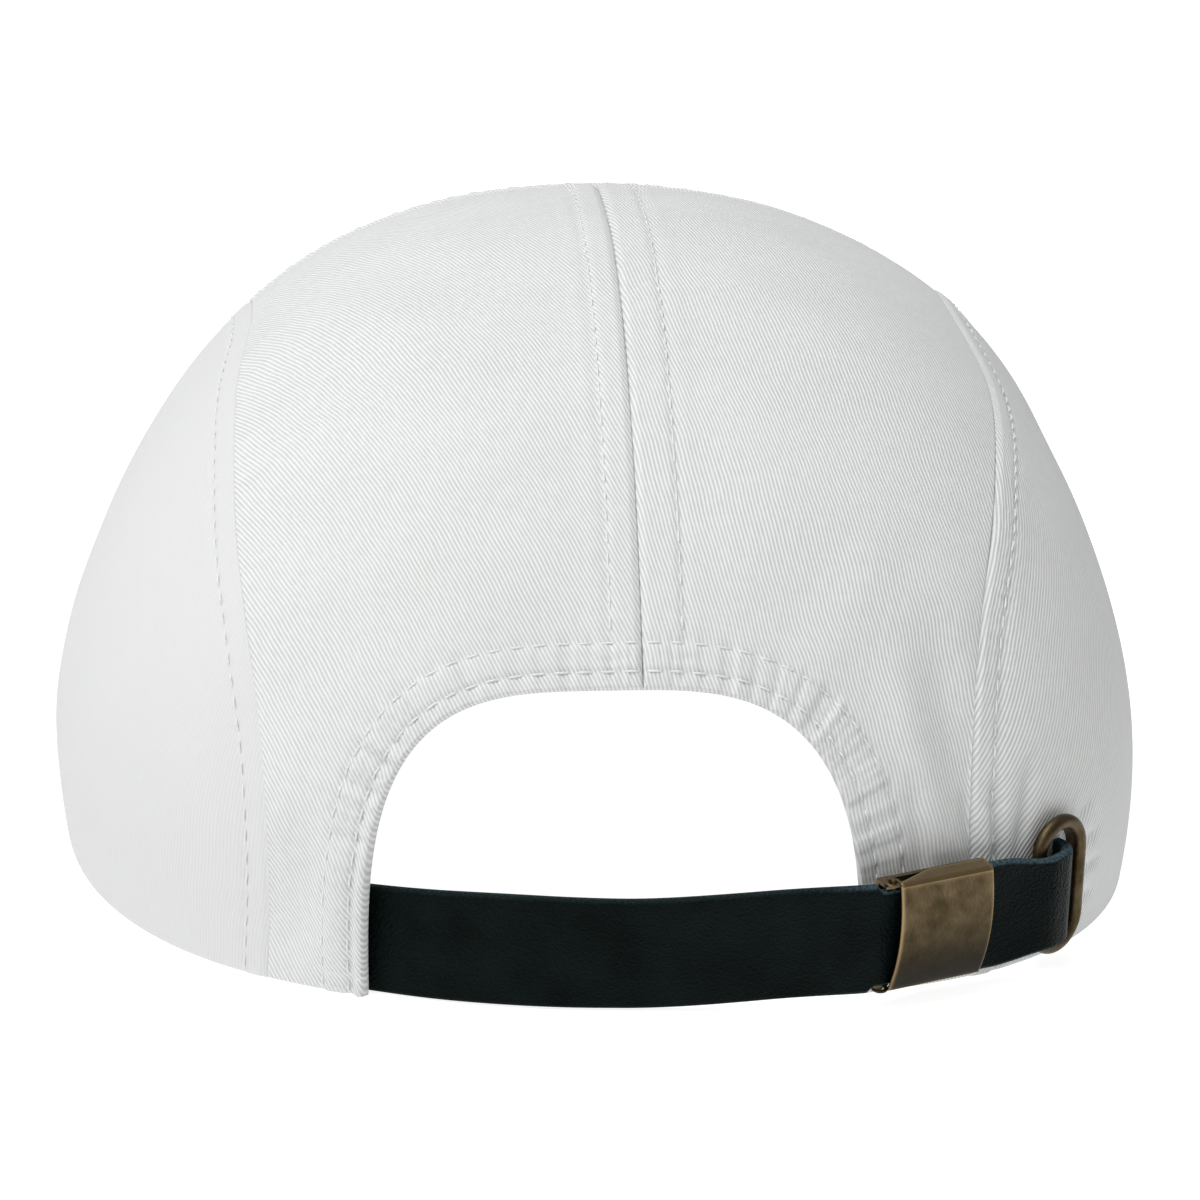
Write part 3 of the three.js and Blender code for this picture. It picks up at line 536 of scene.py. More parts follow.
def brass_material(s):
    """Antique brass, plated, darkened and brushed: a brown satin skin with a fine upright grain, worn
    back to brighter metal on its edges and high places. A mark mixes in a deep colour: as even patina,
    and on the lever as painted shade, darkest on its lowest places."""
    material, tree, shader = new_material("antique_brushed_brass", {"Metallic": 1.0})
    place = add_node(tree, "ShaderNodeTexCoord").outputs["Object"]
    upright = add_node(tree, "ShaderNodeMapping", {}, {"Scale": (1.0, 1.0, 0.2)}, {"Vector": place})
    grain = add_node(tree, "ShaderNodeTexNoise", {}, {
        "Scale": 1 / (s.grain * MM), "Detail": 3.0, "Roughness": 0.7,
    }, {"Vector": upright.outputs["Vector"]})
    # Clouds of patina about 3 mm wide
    cloud = add_node(tree, "ShaderNodeTexNoise", {}, {"Scale": 1 / (3.125 * MM), "Detail": 4.0}, {
        "Vector": place})
    worn = add_node(tree, "ShaderNodeAttribute", {"attribute_name": "worn"}).outputs["Fac"]
    # The mark mixes in the deep colour: even patina, and on the lever painted shade at its lowest places
    # and on its upper flange
    aged = add_node(tree, "ShaderNodeAttribute", {"attribute_name": "aged"}).outputs["Fac"]
    mixed = add_node(tree, "ShaderNodeMix", {"data_type": "FLOAT"}, {"Factor": 0.65}, {
        "A": grain.outputs["Fac"], "B": cloud.outputs["Fac"]}).outputs["Result"]
    patina = add_node(tree, "ShaderNodeValToRGB", links={"Fac": mixed}, stops=[
        (0.36, s.patina_colour), (0.64, s.face_colour)])
    bright = add_node(tree, "ShaderNodeMix", {"data_type": "RGBA"}, {"B": s.worn_colour}, {
        "Factor": worn, "A": patina.outputs["Color"]})
    tone = add_node(tree, "ShaderNodeMix", {"data_type": "RGBA"}, {"B": s.old_colour}, {
        "Factor": aged, "A": bright.outputs["Result"]})
    rough = add_node(tree, "ShaderNodeMapRange", {}, {"To Min": 0.52, "To Max": 0.34}, {
        "Value": mixed})
    finish_shader(tree, shader, {
        "Base Color": tone.outputs["Result"], "Roughness": rough.outputs["Result"],
    }, grain.outputs["Fac"], 0.35, 0.03)
    return material


def floor_material(s):
    """Pale painted floor of a photographer's light table: plain and matt, with a glow."""
    return new_material("pale_matt_floor", {
        "Base Color": s.floor_colour, "Roughness": 0.9, "Specular IOR Level": 0.1,
        "Emission Color": (1.0, 1.0, 1.0, 1.0), "Emission Strength": s.floor_glow})[0]


# Soft folds of the back: a line's two ends as (x, z) seen from behind, half width, depth, all in mm
BACK_FOLDS = np.array([
    (-54.5, 44, -53.5, 8, 4.5, -0.9),
    (-46, 26, -49, 4, 4.0, -1.0),
    (-41, 22, -42, 3, 3.0, 0.7),
    (46, 52, 52, 24, 4.0, -1.1),
    (40, 46, 47, 22, 3.2, 0.8),
    (56, 56, 55, 30, 3.5, -0.8),
    (27, 47, 40, 64, 4.0, 0.35),
    (44.0, 19, 42.0, 31, 1.3, -0.6),
    (52.5, 17, 50.5, 28, 1.2, -0.8),
    (55.8, 18, 55.3, 30, 1.2, -0.9),
    (59.0, 20, 61.0, 31, 1.1, -0.8),
    (69.0, 8, 72.5, 7, 0.9, -0.5),
    (69.6, 12, 73.5, 12, 0.9, -0.5),
    (69.8, 16, 73.5, 17, 0.9, -0.5),
    (69.0, 20, 72.0, 22.5, 0.9, -0.5),
])


def fold_relief(p, folds):
    """Soft folds: along each line a bell across it, fading out towards both ends."""
    total = np.zeros(p.shape[:-1])
    for x0, z0, x1, z1, wide, depth in folds:
        along = np.array([x1 - x0, z1 - z0])
        long = np.linalg.norm(along)
        along /= long
        dx, dz = p[..., 0] - x0, p[..., 2] - z0
        t = (dx * along[0] + dz * along[1]) / long
        off = dx * along[1] - dz * along[0]
        total += depth * bump(off, 0, wide) * ramp(t, -0.25, 0.3) * ramp(-t, -1.25, -0.7)
    return total * (p[..., 1] < 0)


# Length of the steps of a seam's line
SEAM_STEP = 0.5
# The band beside a seam: how far it stands out, how far the cloth does beyond its row, how deep the
# row of stitches pulls it in and how high its puckers are, in millimetres
BAND_FULL, BAND_BEYOND, BAND_PULL, BAND_PUCKER = 0.34, 0.12, 0.3, 0.09
# The share of that band which the left side panel has
LEFT_BAND = 0.55
# The arch's band likewise, with the roll and crease of its left foot, both rows' pull and both
# waves of its puckers
ARCH_FULL, ARCH_ROLL, ARCH_CREASE = 0.4, 0.55, 0.35
ARCH_PULL = (0.24, 0.26)
ARCH_PUCKER = (0.16, 0.07)
# How uneven the cloth is between its seams
UNEVEN = 0.16
# How much further from the centre seam its left and right rows of stitches are than other rows
CENTRE_ROWS = (0.5, 1.9)


class Sewing:
    """The crown's seams and rows of stitches, and the relief that they pull into the cloth."""

    def __init__(self, crown, s):
        self.crown = crown
        self.s = s
        self.left = even(crown.side_seam(-1), SEAM_STEP)
        self.right = even(crown.side_seam(1), SEAM_STEP)
        cross = crown.cross_seam(self.left, self.right)
        centre = crown.centre_seam()
        centre = kept(centre, CROSS_SEAM_Y - centre[:, 1])
        arch = crown.arch_line()
        top = np.interp(CENTRE_SEAM_X, arch[:, 0], arch[:, 2])
        # Only the back part of the seam, 20 mm and more behind the middle, can be below the arch
        over = np.where(centre[:, 1] > -20, crown.half[2], centre[:, 2] - top)
        self.centre = even(kept(centre, over), SEAM_STEP)
        foot, middle = self.centre[0], self.centre[-1]
        self.cross = even(cross, SEAM_STEP)
        self.cross_left = even(kept(cross, CENTRE_SEAM_X - cross[:, 0]), SEAM_STEP)
        self.cross_left[-1] = middle
        self.cross_right = even(kept(cross, cross[:, 0] - CENTRE_SEAM_X), SEAM_STEP)
        self.cross_right[0] = middle
        self.arch_left = kept(arch, CENTRE_SEAM_X - arch[:, 0])
        self.arch_left[-1] = foot
        self.arch_right = kept(arch, arch[:, 0] - CENTRE_SEAM_X)
        self.arch_right[0] = foot
        self.arch = even(np.concatenate([self.arch_left, self.arch_right[1:]]), SEAM_STEP)

    def seam_band(self, d, along, row, seed):
        """A doubled band beside a seam, by the distance d from it: full between the seam and its
        row of stitches, pulled in at each stitch along the row, with small puckers there."""
        full = BAND_FULL * ramp(d, 0.2, 1.2) * ramp(-d, -row - 0.9, -row + 0.5)
        beyond = BAND_BEYOND * bump(d, row + 2, 1.4)
        dip = 0.75 + 0.25 * np.cos(2 * np.pi * along / self.s.stitch)
        pull = -BAND_PULL * dip * bump(d, row, 0.55)
        pucker = BAND_PUCKER * ripple(along * 1.3, seed) * bump(d, row, 2.2)
        return full + beyond + pull + pucker

    def arch_band(self, d, along):
        """The arch's turned edge, by the distance d from it: a thick band between the edge and the
        outer row, rolled at its left foot, pulled in along both rows, with puckers across it that
        are deepest at the left and at the upper right."""
        inner, outer = self.s.arch_rows
        share = along / run_of(self.arch)[-1]
        full = ARCH_FULL * ramp(-d, -outer - 0.8, -outer + 0.6)
        rolled = ramp(-share, -0.3, -0.12)
        full = full + rolled * (ARCH_ROLL * bump(d, 0.9, 1) - ARCH_CREASE * bump(d, 2, 0.5))
        pull = -ARCH_PULL[0] * bump(d, inner, 0.5) - ARCH_PULL[1] * bump(d, outer, 0.55)
        # How deep the puckers are along the arch: a little everywhere, more at two places
        deep = 0.4 + 1.9 * bump(share, 0.7, 0.08) + 1.2 * bump(share, 0.3, 0.11)
        slant = along + 0.15 * d * ramp(share, 0.5, 0.65)
        wave = ARCH_PUCKER[0] * ripple(slant * 1.25, 11) + ARCH_PUCKER[1] * ripple(slant * 2.1, 12)
        return full + pull + deep * wave * ramp(-d, -outer - 2, -outer + 0.5)

    def relief(self, name, p):
        """How far the cloth of a panel stands out from the crown's even face, in millimetres."""
        total = fold_relief(p, BACK_FOLDS)
        grain = ripple(p[..., 0] * 0.11, 5) * ripple(p[..., 2] * 0.08 + p[..., 1] * 0.05, 6)
        total = total + UNEVEN * grain
        row = self.s.seam_row
        is_left = name.endswith("left")
        if name.startswith("back"):
            d, along = nearest(p, self.arch)
            total = total + self.arch_band(d, along)
            further = CENTRE_ROWS[0 if is_left else 1]
            beside = self.seam_band(*nearest(p, self.centre), row + further, 21)
            total = total + beside * ramp(d, 0, 3)
        if name.startswith("side"):
            line, strong = (self.left, LEFT_BAND) if is_left else (self.right, 1.0)
            total = total + strong * self.seam_band(*nearest(p, line), row, 31)
        if name == "front_panel":
            total = total + self.seam_band(*nearest(p, self.cross), row, 41)
        return total

    def lines(self, name):
        """The lines that bound a panel, each with the share of its thickness that is rounded off
        there: more where the cloth is turned in sharply."""
        return {
            "front_panel": [(self.left, 0.3), (self.right, 0.6), (self.cross, 0.5)],
            "side_panel_left": [(self.left, 0.3)],
            "side_panel_right": [(self.right, 0.6)],
            "back_panel_left": [
                (self.left, 0.3), (self.cross_left, 0.5), (self.centre, 0.6), (self.arch, 0.9)],
            "back_panel_right": [
                (self.right, 0.6), (self.cross_right, 0.5), (self.centre, 0.6), (self.arch, 0.9)],
        }[name]

    def back_grid(self, is_left):
        """A back panel's grid, out from the arch to the side seam and the cross seam."""
        crown, s, t = self.crown, eased(190), eased(140)
        side = self.left if is_left else self.right
        side = kept(side, CROSS_SEAM_Y - side[:, 1])
        cross = self.cross_left if is_left else self.cross_right[::-1]
        near = self.arch_left if is_left else self.arch_right[::-1]
        # The share of the far edge that the side seam takes
        split = 0.68
        far = np.concatenate([
            resample(side, s[s < split] / split),
            resample(cross, (s[s >= split] - split) / (1 - split)),
        ])
        feet = crown.hem_line(crown.around(near[0]), crown.around(side[0]))
        edges = [resample(near, s), far, resample(feet, t), resample(self.centre, t)]
        return crown.point(patch(*[crown.aim(edge) for edge in edges], s, t))

    def side_grid(self, line):
        """A side panel's grid, up from the hem to its seam, blended in degrees round and up."""
        crown, s, t = self.crown, eased(210), eased(120)
        along = run_of(line) / run_of(line)[-1]
        # The shares of the seam between which it is the panel's upper edge, not an end
        low, high = 0.17, 0.83
        start = line[along <= low]
        end = line[along >= high][::-1]
        top = line[(along >= low) & (along <= high)]
        top[0], top[-1] = start[-1], end[-1]
        hem = crown.hem_line(crown.around(line[0]), crown.around(line[-1]))
        edges = [resample(hem, s), resample(top, s), resample(start, t), resample(end, t)]
        aims = [crown.aim(edge) for edge in edges]
        turned = [np.stack([
            np.arctan2(d[:, 0], -d[:, 1]), np.arcsin(np.clip(d[:, 2], -1, 1))], -1) for d in aims]
        grid = np.degrees(patch(*turned, s, t))
        return crown.point(crown.heading(grid[..., 0], grid[..., 1]))

    def front_grid(self):
        """The front panel's grid, up from the hem to the cross seam."""
        crown, s, t = self.crown, eased(150), eased(120)
        left, right = [kept(line, line[:, 1] - CROSS_SEAM_Y)[::-1] for line in (self.left, self.right)]
        turn = crown.around(left[0]) + 360, crown.around(right[0])
        hem = crown.hem_line(turn[0], turn[1])
        edges = [resample(hem, s), resample(self.cross, s), resample(left, t), resample(right, t)]
        return crown.point(patch(*[crown.aim(edge) for edge in edges], s, t))

    def panel_grid(self, name):
        """A panel's grid of points on the crown's even face."""
        is_left = name.endswith("left")
        if name.startswith("back"):
            return self.back_grid(is_left)
        if name.startswith("side"):
            return self.side_grid(self.left if is_left else self.right)
        return self.front_grid()

    def weave_map(self, name, p, angle):
        """The weave's place on a panel in millimetres, its ribs turned by an angle: sideways the
        distance from the middle, or round the crown on a side panel; upwards the run of the
        crown's middle or side section."""
        turn = np.linspace(0, np.pi, 400)
        if name.startswith("side"):
            arc = self.crown.point(np.stack([np.cos(turn), 0 * turn, np.sin(turn)], -1))
            at = np.arctan2(p[..., 2], np.hypot(p[..., 0], p[..., 1]))
            u = self.s.width / 2 * np.arctan2(p[..., 1], np.abs(p[..., 0]))
        else:
            arc = self.crown.point(np.stack([0 * turn, -np.cos(turn), np.sin(turn)], -1))
            at = np.arctan2(p[..., 2], -p[..., 1])
            u = p[..., 0]
        v = np.interp(at, turn, run_of(arc))
        wave = 0.5 * ripple(v * 0.07 + u * 0.05, 51) + 0.09 * ripple(v * 0.3 - u * 0.12, 52)
        a = np.radians(angle)
        return np.stack([u * np.cos(a) + v * np.sin(a) + wave, v * np.cos(a) - u * np.sin(a)], -1)

    def surface(self, name, p):
        """Points of a panel with its relief."""
        return p + self.crown.normal(p) * self.relief(name, p)[..., None]


# The panels and the slant of their weave, in degrees from upright
PANELS = {
    "front_panel": 32,
    "side_panel_left": 8,
    "side_panel_right": -42,
    "back_panel_left": 25,
    "back_panel_right": 13,
}


def build_panel(sewing, name, material):
    """One panel: the crown's face with its relief outside, an even face inside, both rounded into
    each other along every edge."""
    crown = sewing.crown
    p = sewing.panel_grid(name)
    normal = crown.normal(p)
    rounding = np.ones(p.shape[:-1])
    for line, depth in sewing.lines(name):
        share = np.clip(nearest(p, line)[0] / sewing.s.seam_round, 0, 1)
        rounding = np.minimum(rounding, 1 - depth * (1 - np.sqrt(share * (2 - share))))
    low = np.where(p[..., 1] > 0, crown.lift(p[..., 0]), 0)
    hem = np.clip((p[..., 2] - low) / (crown.wall / 2), 0, 1)
    rounding = rounding * np.sqrt(np.clip(1 - (1 - hem) ** 2, 0.01, 1))
    half = crown.wall / 2
    relief = sewing.relief(name, p)
    outer = p + normal * (-half + (half + relief) * rounding)[..., None]
    inner = p + normal * (-half - half * rounding)[..., None]
    points, faces = sheet_of(outer, inner)
    uv = sewing.weave_map(name, p, PANELS[name]).reshape(-1, 2)
    return add_piece(name + "_cloth", points, faces, material, np.concatenate([uv, uv]), replaces=[name])


# Length of the steps of a row of stitches
ROW_STEP = 0.6


def stitch_points(path, normal, pitch, radius, fill=0.74, sides=6, rings=7, sink=0.5):
    """Stitches along a path: each a short round thread that rises from one hole and sinks into the
    next. Its middle line is half a sine over the path, its radius narrows at both ends."""
    run = run_of(path)
    count = int(run[-1] / pitch)
    pitch = run[-1] / count
    u = np.linspace(0, 1, rings)
    at = (np.arange(count)[:, None] + 0.5 + fill * (u[None] - 0.5)) * pitch
    centre = np.stack([np.interp(at, run, path[:, k]) for k in range(3)], -1)
    up = unit(np.stack([np.interp(at, run, normal[:, k]) for k in range(3)], -1))
    ahead = unit(np.gradient(centre, axis=1))
    side = unit(np.cross(up, ahead))
    rise = radius * (np.sin(np.pi * u) * (1 + sink) - sink)
    centre = centre + up * rise[None, :, None]
    thin = radius * np.sqrt(np.clip(1 - (2 * u - 1) ** 4, 0.08, 1))
    a = np.linspace(0, 2 * np.pi, sides, endpoint=False)
    ring = np.cos(a)[:, None] * side[:, :, None] + np.sin(a)[:, None] * up[:, :, None]
    points = centre[:, :, None] + ring * thin[None, :, None, None]
    faces = grid_faces(rings, sides, closed=True)
    ends = [list(range(sides))[::-1], list(range((rings - 1) * sides, rings * sides))]
    size = rings * sides
    every = (np.arange(count)[:, None, None] * size + faces).reshape(-1, 4).tolist()
    for k in range(count):
        every += [[i + k * size for i in end] for end in ends]
    return points.reshape(-1, 3), every


def join_stitches(rows):
    """Several rows of stitches as one set of points and faces."""
    points, faces, first = [], [], 0
    for row_points, row_faces in rows:
        points.append(row_points)
        faces += [[i + first for i in face] for face in row_faces]
        first += len(row_points)
    return np.concatenate(points), faces


def crown_row(sewing, name, line, offset, s):
    """A row of stitches on a panel, a set distance to the left of a line."""
    crown = sewing.crown
    normal = crown.normal(line)
    side = unit(np.cross(normal, unit(np.gradient(line, axis=0))))
    path = even(crown.drop(line + side * offset), ROW_STEP)
    normal = crown.normal(path)
    return stitch_points(sewing.surface(name, path), normal, s.stitch, s.thread / 2)


def millimetres(name, text, value):
    """A setting of length."""
    return bpy.props.FloatProperty(
        name=name, description=text, default=value * MM, precision=5, subtype="DISTANCE")


def places(name, text, values):
    """A setting of several lengths in millimetres."""
    return bpy.props.FloatVectorProperty(
        name=name, description=text, default=[value * MM for value in values], size=len(values),
        precision=5, subtype="XYZ_LENGTH")


def degrees(name, text, value):
    """A setting of an angle."""
    return bpy.props.FloatProperty(
        name=name, description=text, default=np.radians(value), subtype="ANGLE")


def number(name, text, value, subtype="NONE"):
    """A setting that is a share, a power or another number."""
    return bpy.props.FloatProperty(
        name=name, description=text, default=value, precision=3, subtype=subtype)


def colour(name, text, code):
    """A setting of colour from an sRGB hex value."""
    return bpy.props.FloatVectorProperty(
        name=name, description=text, default=srgb(code), size=3, min=0, max=1, subtype="COLOR")


def values_of(group):
    """A group's settings by name: lengths in millimetres and angles in degrees, both rounded to a ten
    thousandth because Blender keeps them in single precision, and colours with alpha."""
    values = SimpleNamespace()
    for name in type(group).__annotations__:
        setting = group.bl_rna.properties[name]
        value = getattr(group, name)
        if setting.subtype == "COLOR":
            value = (*value, 1.0)
        elif setting.unit == "LENGTH":
            value = np.round(np.array(value) / MM, 4)
        elif setting.unit == "ROTATION":
            value = np.round(np.degrees(value), 4)
        setattr(values, name, value)
    return values


class CapCrownSettings(bpy.types.PropertyGroup):
    """Sizes of the crown, the peak and their sewing, and the cloth's colours."""
    width: millimetres("Width", "Crown's width", 175)
    length: millimetres("Length", "Crown's length", 198)
    height: millimetres("Height", "Crown's height", 98.5)
    cloth: millimetres("Cloth", "Thickness of the cloth", 1.6)
    hem_tuck: number("Hem tuck", "Share by which the hem is drawn in", 0.032, subtype="FACTOR")
    belly_height: millimetres("Belly height", "Height up to which the hem is drawn in", 36)
    top_lean: millimetres("Top lean", "How far the top leans to the right", 2.5)
    arch_width: millimetres("Arch width", "Width of the opening", 72)
    arch_height: millimetres("Arch height", "Height of the opening", 46.5)
    arch_x: millimetres("Arch place", "The opening's middle, to the right", -1.2)
    arch_square: number("Arch squareness", "2 is an ellipse, more is squarer", 3.3)
    arch_rows: places("Arch rows", "Distance of both rows of stitches from the edge", (2.6, 6.8))
    seam_row: millimetres("Seam row", "Distance of a row of stitches from its seam", 4)
    seam_round: millimetres("Seam rounding", "How far the cloth rounds into a seam", 0.55)
    stitch: millimetres("Stitch", "Length of a stitch", 3.3)
    thread: millimetres("Thread", "Thickness of the thread", 0.36)
    peak_width: millimetres("Peak width", "Width of the peak", 164)
    peak_reach: millimetres("Peak reach", "How far the peak reaches out from the hem", 68)
    peak_lift: millimetres("Peak arch", "How far the peak arches up in its middle", 9)
    peak_board: millimetres("Peak board", "Thickness of the peak", 3.2)
    rib_pitch: millimetres("Rib pitch", "Distance between the twill's ribs", 0.56)
    rib_height: millimetres("Rib height", "Height of the twill's ribs", 0.16)
    pressed: number("Pressed", "Share of the ribs left on the left side", 0.35, subtype="FACTOR")
    cloth_colour: colour("Cloth colour", "Colour of the ribs", 0xDFE0DF)
    # The shade colour is painted shade in the ribs' valleys and in the thread's twist
    shade_colour: colour("Shade colour", "Colour between the ribs", 0xBEC1C0)
    # The left side panel's darker colour is painted shade: it darkens the side that faces the key light
    pressed_colour: colour("Pressed colour", "Colour of the left side panel", 0xD3D3D4)
    thread_colour: colour("Thread colour", "Colour of the thread", 0xEDEDEE)


class CapStrapSettings(bpy.types.PropertyGroup):
    """Sizes and colours of the leather strap."""
    width: millimetres("Width", "Strap's width", 16.8)
    thickness: millimetres("Thickness", "Thickness of the leather", 1.8)
    low: millimetres("Low edge", "Height of its low edge", 1.2)
    sag: millimetres("Sag", "How much lower its low edge hangs", 0.8)
    waist: millimetres("Waist", "Its width in the clasp", 15.8)
    tail_width: millimetres("Tail width", "Its width in the eyelet", 14.4)
    tail: millimetres("Tail", "Its length inside the cap", 20)
    pebble: millimetres("Pebble", "Width of a pebble of the grain", 0.4)
    face_colour: colour("Face", "Colour of the grain", 0x020807)
    face_light_colour: colour("Face, light", "Colour where the grain is lighter", 0x0A1413)
    edge_colour: colour("Raw edge", "Colour of the cut edge", 0x43555C)


class CapBrassSettings(bpy.types.PropertyGroup):
    """Sizes and colours of the brass clasp and eyelet."""
    clasp_round: degrees("Clasp place", "Angle round from the back", 25.1)
    clasp_turn: degrees("Clasp turn", "Angle at which its left end stands off", 8)
    clasp_slope: number("Clasp slope", "How far it leans out over its height", 0.18)
    stand_off: millimetres("Clasp stand-off", "Its back's distance from the cloth", 1.7)
    clasp_rise: millimetres("Clasp rise", "How much higher it sits than the strap", 2.9)
    clasp_length: millimetres("Clasp length", "Its length along the strap", 16)
    sheet: millimetres("Sheet", "Thickness of the brass", 0.7)
    wall: millimetres("Flange sheet", "Thickness of the lever's flanges", 0.4)
    bend: millimetres("Bend", "Radius of the bend between cover and flange", 0.45)
    bow: millimetres("Cover bow", "How far the cover bows from top to bottom", 1.6)
    gap: millimetres("Gap", "Clearance between pieces", 0.3)
    ear: millimetres("Ear", "Radius of the lever's ear", 1.25)
    pin: millimetres("Pin", "Radius of the hinge pin", 0.45)
    pin_room: millimetres("Pin room", "Clearance round the pin", 0.25)
    setback: millimetres("Hinge setback", "How far the hinge lies behind the cover", 0.3)
    inset: millimetres("Cover inset", "Distance of the cover's left edge from the hinge", 0.75)
    slit: millimetres("Slit", "Length of the flange's slit", 7)
    eyelet_round: degrees("Eyelet place", "Angle round from the back", 38.2)
    eyelet_height: millimetres("Eyelet height", "Height of the ring", 22)
    eyelet_width: millimetres("Eyelet width", "Width of the ring", 11.6)
    eyelet_bar: millimetres("Eyelet bar", "Width of the ring's bead", 2.2)
    eyelet_low: millimetres("Eyelet low", "Height of its lowest place", 1.3)
    eyelet_barrel: millimetres("Barrel", "Thickness of the barrel's wall", 0.5)
    eyelet_flange: millimetres("Flange", "Width of the inner flange", 1.4)
    turn_room: millimetres("Turn room", "Room beside the strap's turn", 1.4)
    grain: millimetres("Grain", "Width of the brushed grain", 0.2)
    face_colour: colour("Brass", "Colour of the clean face", 0x76664D)
    patina_colour: colour("Patina", "Colour of the aged face", 0x4A3F2C)
    # The deep colour is even patina, and on the lever painted shade at its lowest places
    old_colour: colour("Deep patina", "Colour of the lowest places", 0x1C180E)
    worn_colour: colour("Worn", "Colour of the worn edges", 0xA38C66)


class CapStageSettings(bpy.types.PropertyGroup):
    """The camera, the floor and the lights."""
    azimuth: degrees("Azimuth", "Angle to the left of straight behind", 3.5)
    elevation: degrees("Elevation", "Angle above level", 17)
    distance: millimetres("Distance", "Camera to cap", 700)
    lens: number("Lens", "Focal length", 128.1, subtype="DISTANCE_CAMERA")
    target: places("Target", "What the camera looks at", (2.356, -2.268, 33.067))
    floor_colour: colour("Floor", "Colour of the floor", 0xB4B4B4)
    floor_glow: number("Floor glow", "How strongly the floor glows, as a light table does", 0.85)
    key: number("Key", "Power of the light from behind on the left", 3.6, subtype="POWER")
    fill: number("Fill", "Power of the light from the right", 0.05, subtype="POWER")
    top: number("Top", "Power of the light from above", 13.5, subtype="POWER")
    world: number("Room", "Strength of the room's light", 0.36)


def hem_frame(crown, around, height, turn=0.0):
    """A place on the crown's face at a height, with the level directions along and out, turned by
    an angle in degrees."""
    p = crown.at_height(np.array(around), lambda p: height, 6)
    x, y = unit(crown.normal(p)[:2])
    a = np.radians(turn)
    out = np.array([x * np.cos(a) - y * np.sin(a), x * np.sin(a) + y * np.cos(a), 0])
    along = np.array([-out[1], out[0], 0])
    return p, along, out


def smooth_path(stops, count):
    """A smooth path through the stops, in equal steps: cubic pieces whose pace follows the root of
    the distance between stops."""
    stops = np.asarray(stops, float)
    first = 2 * stops[0] - stops[1]
    last = 2 * stops[-1] - stops[-2]
    p = np.concatenate([first[None], stops, last[None]])
    gap = np.maximum(np.linalg.norm(np.diff(p, axis=0), axis=1) ** 0.5, 1e-6)
    out = []
    for i in range(1, len(p) - 2):
        g0, g1, g2 = gap[i - 1], gap[i], gap[i + 1]
        t1 = ((p[i] - p[i - 1]) / g0 - (p[i + 1] - p[i - 1]) / (g0 + g1)) * g1 + (p[i + 1] - p[i])
        t2 = ((p[i + 2] - p[i + 1]) / g2 - (p[i + 2] - p[i]) / (g1 + g2)) * g1 + (p[i + 1] - p[i])
        u = np.linspace(0, 1, 24, endpoint=False)[:, None]
        h = u * u * (3 - 2 * u)
        out.append(p[i] + (p[i + 1] - p[i]) * h + t1 * u * (1 - u) ** 2 - t2 * u * u * (1 - u))
    out.append(stops[-1][None])
    return resample(np.concatenate(out), np.linspace(0, 1, count))


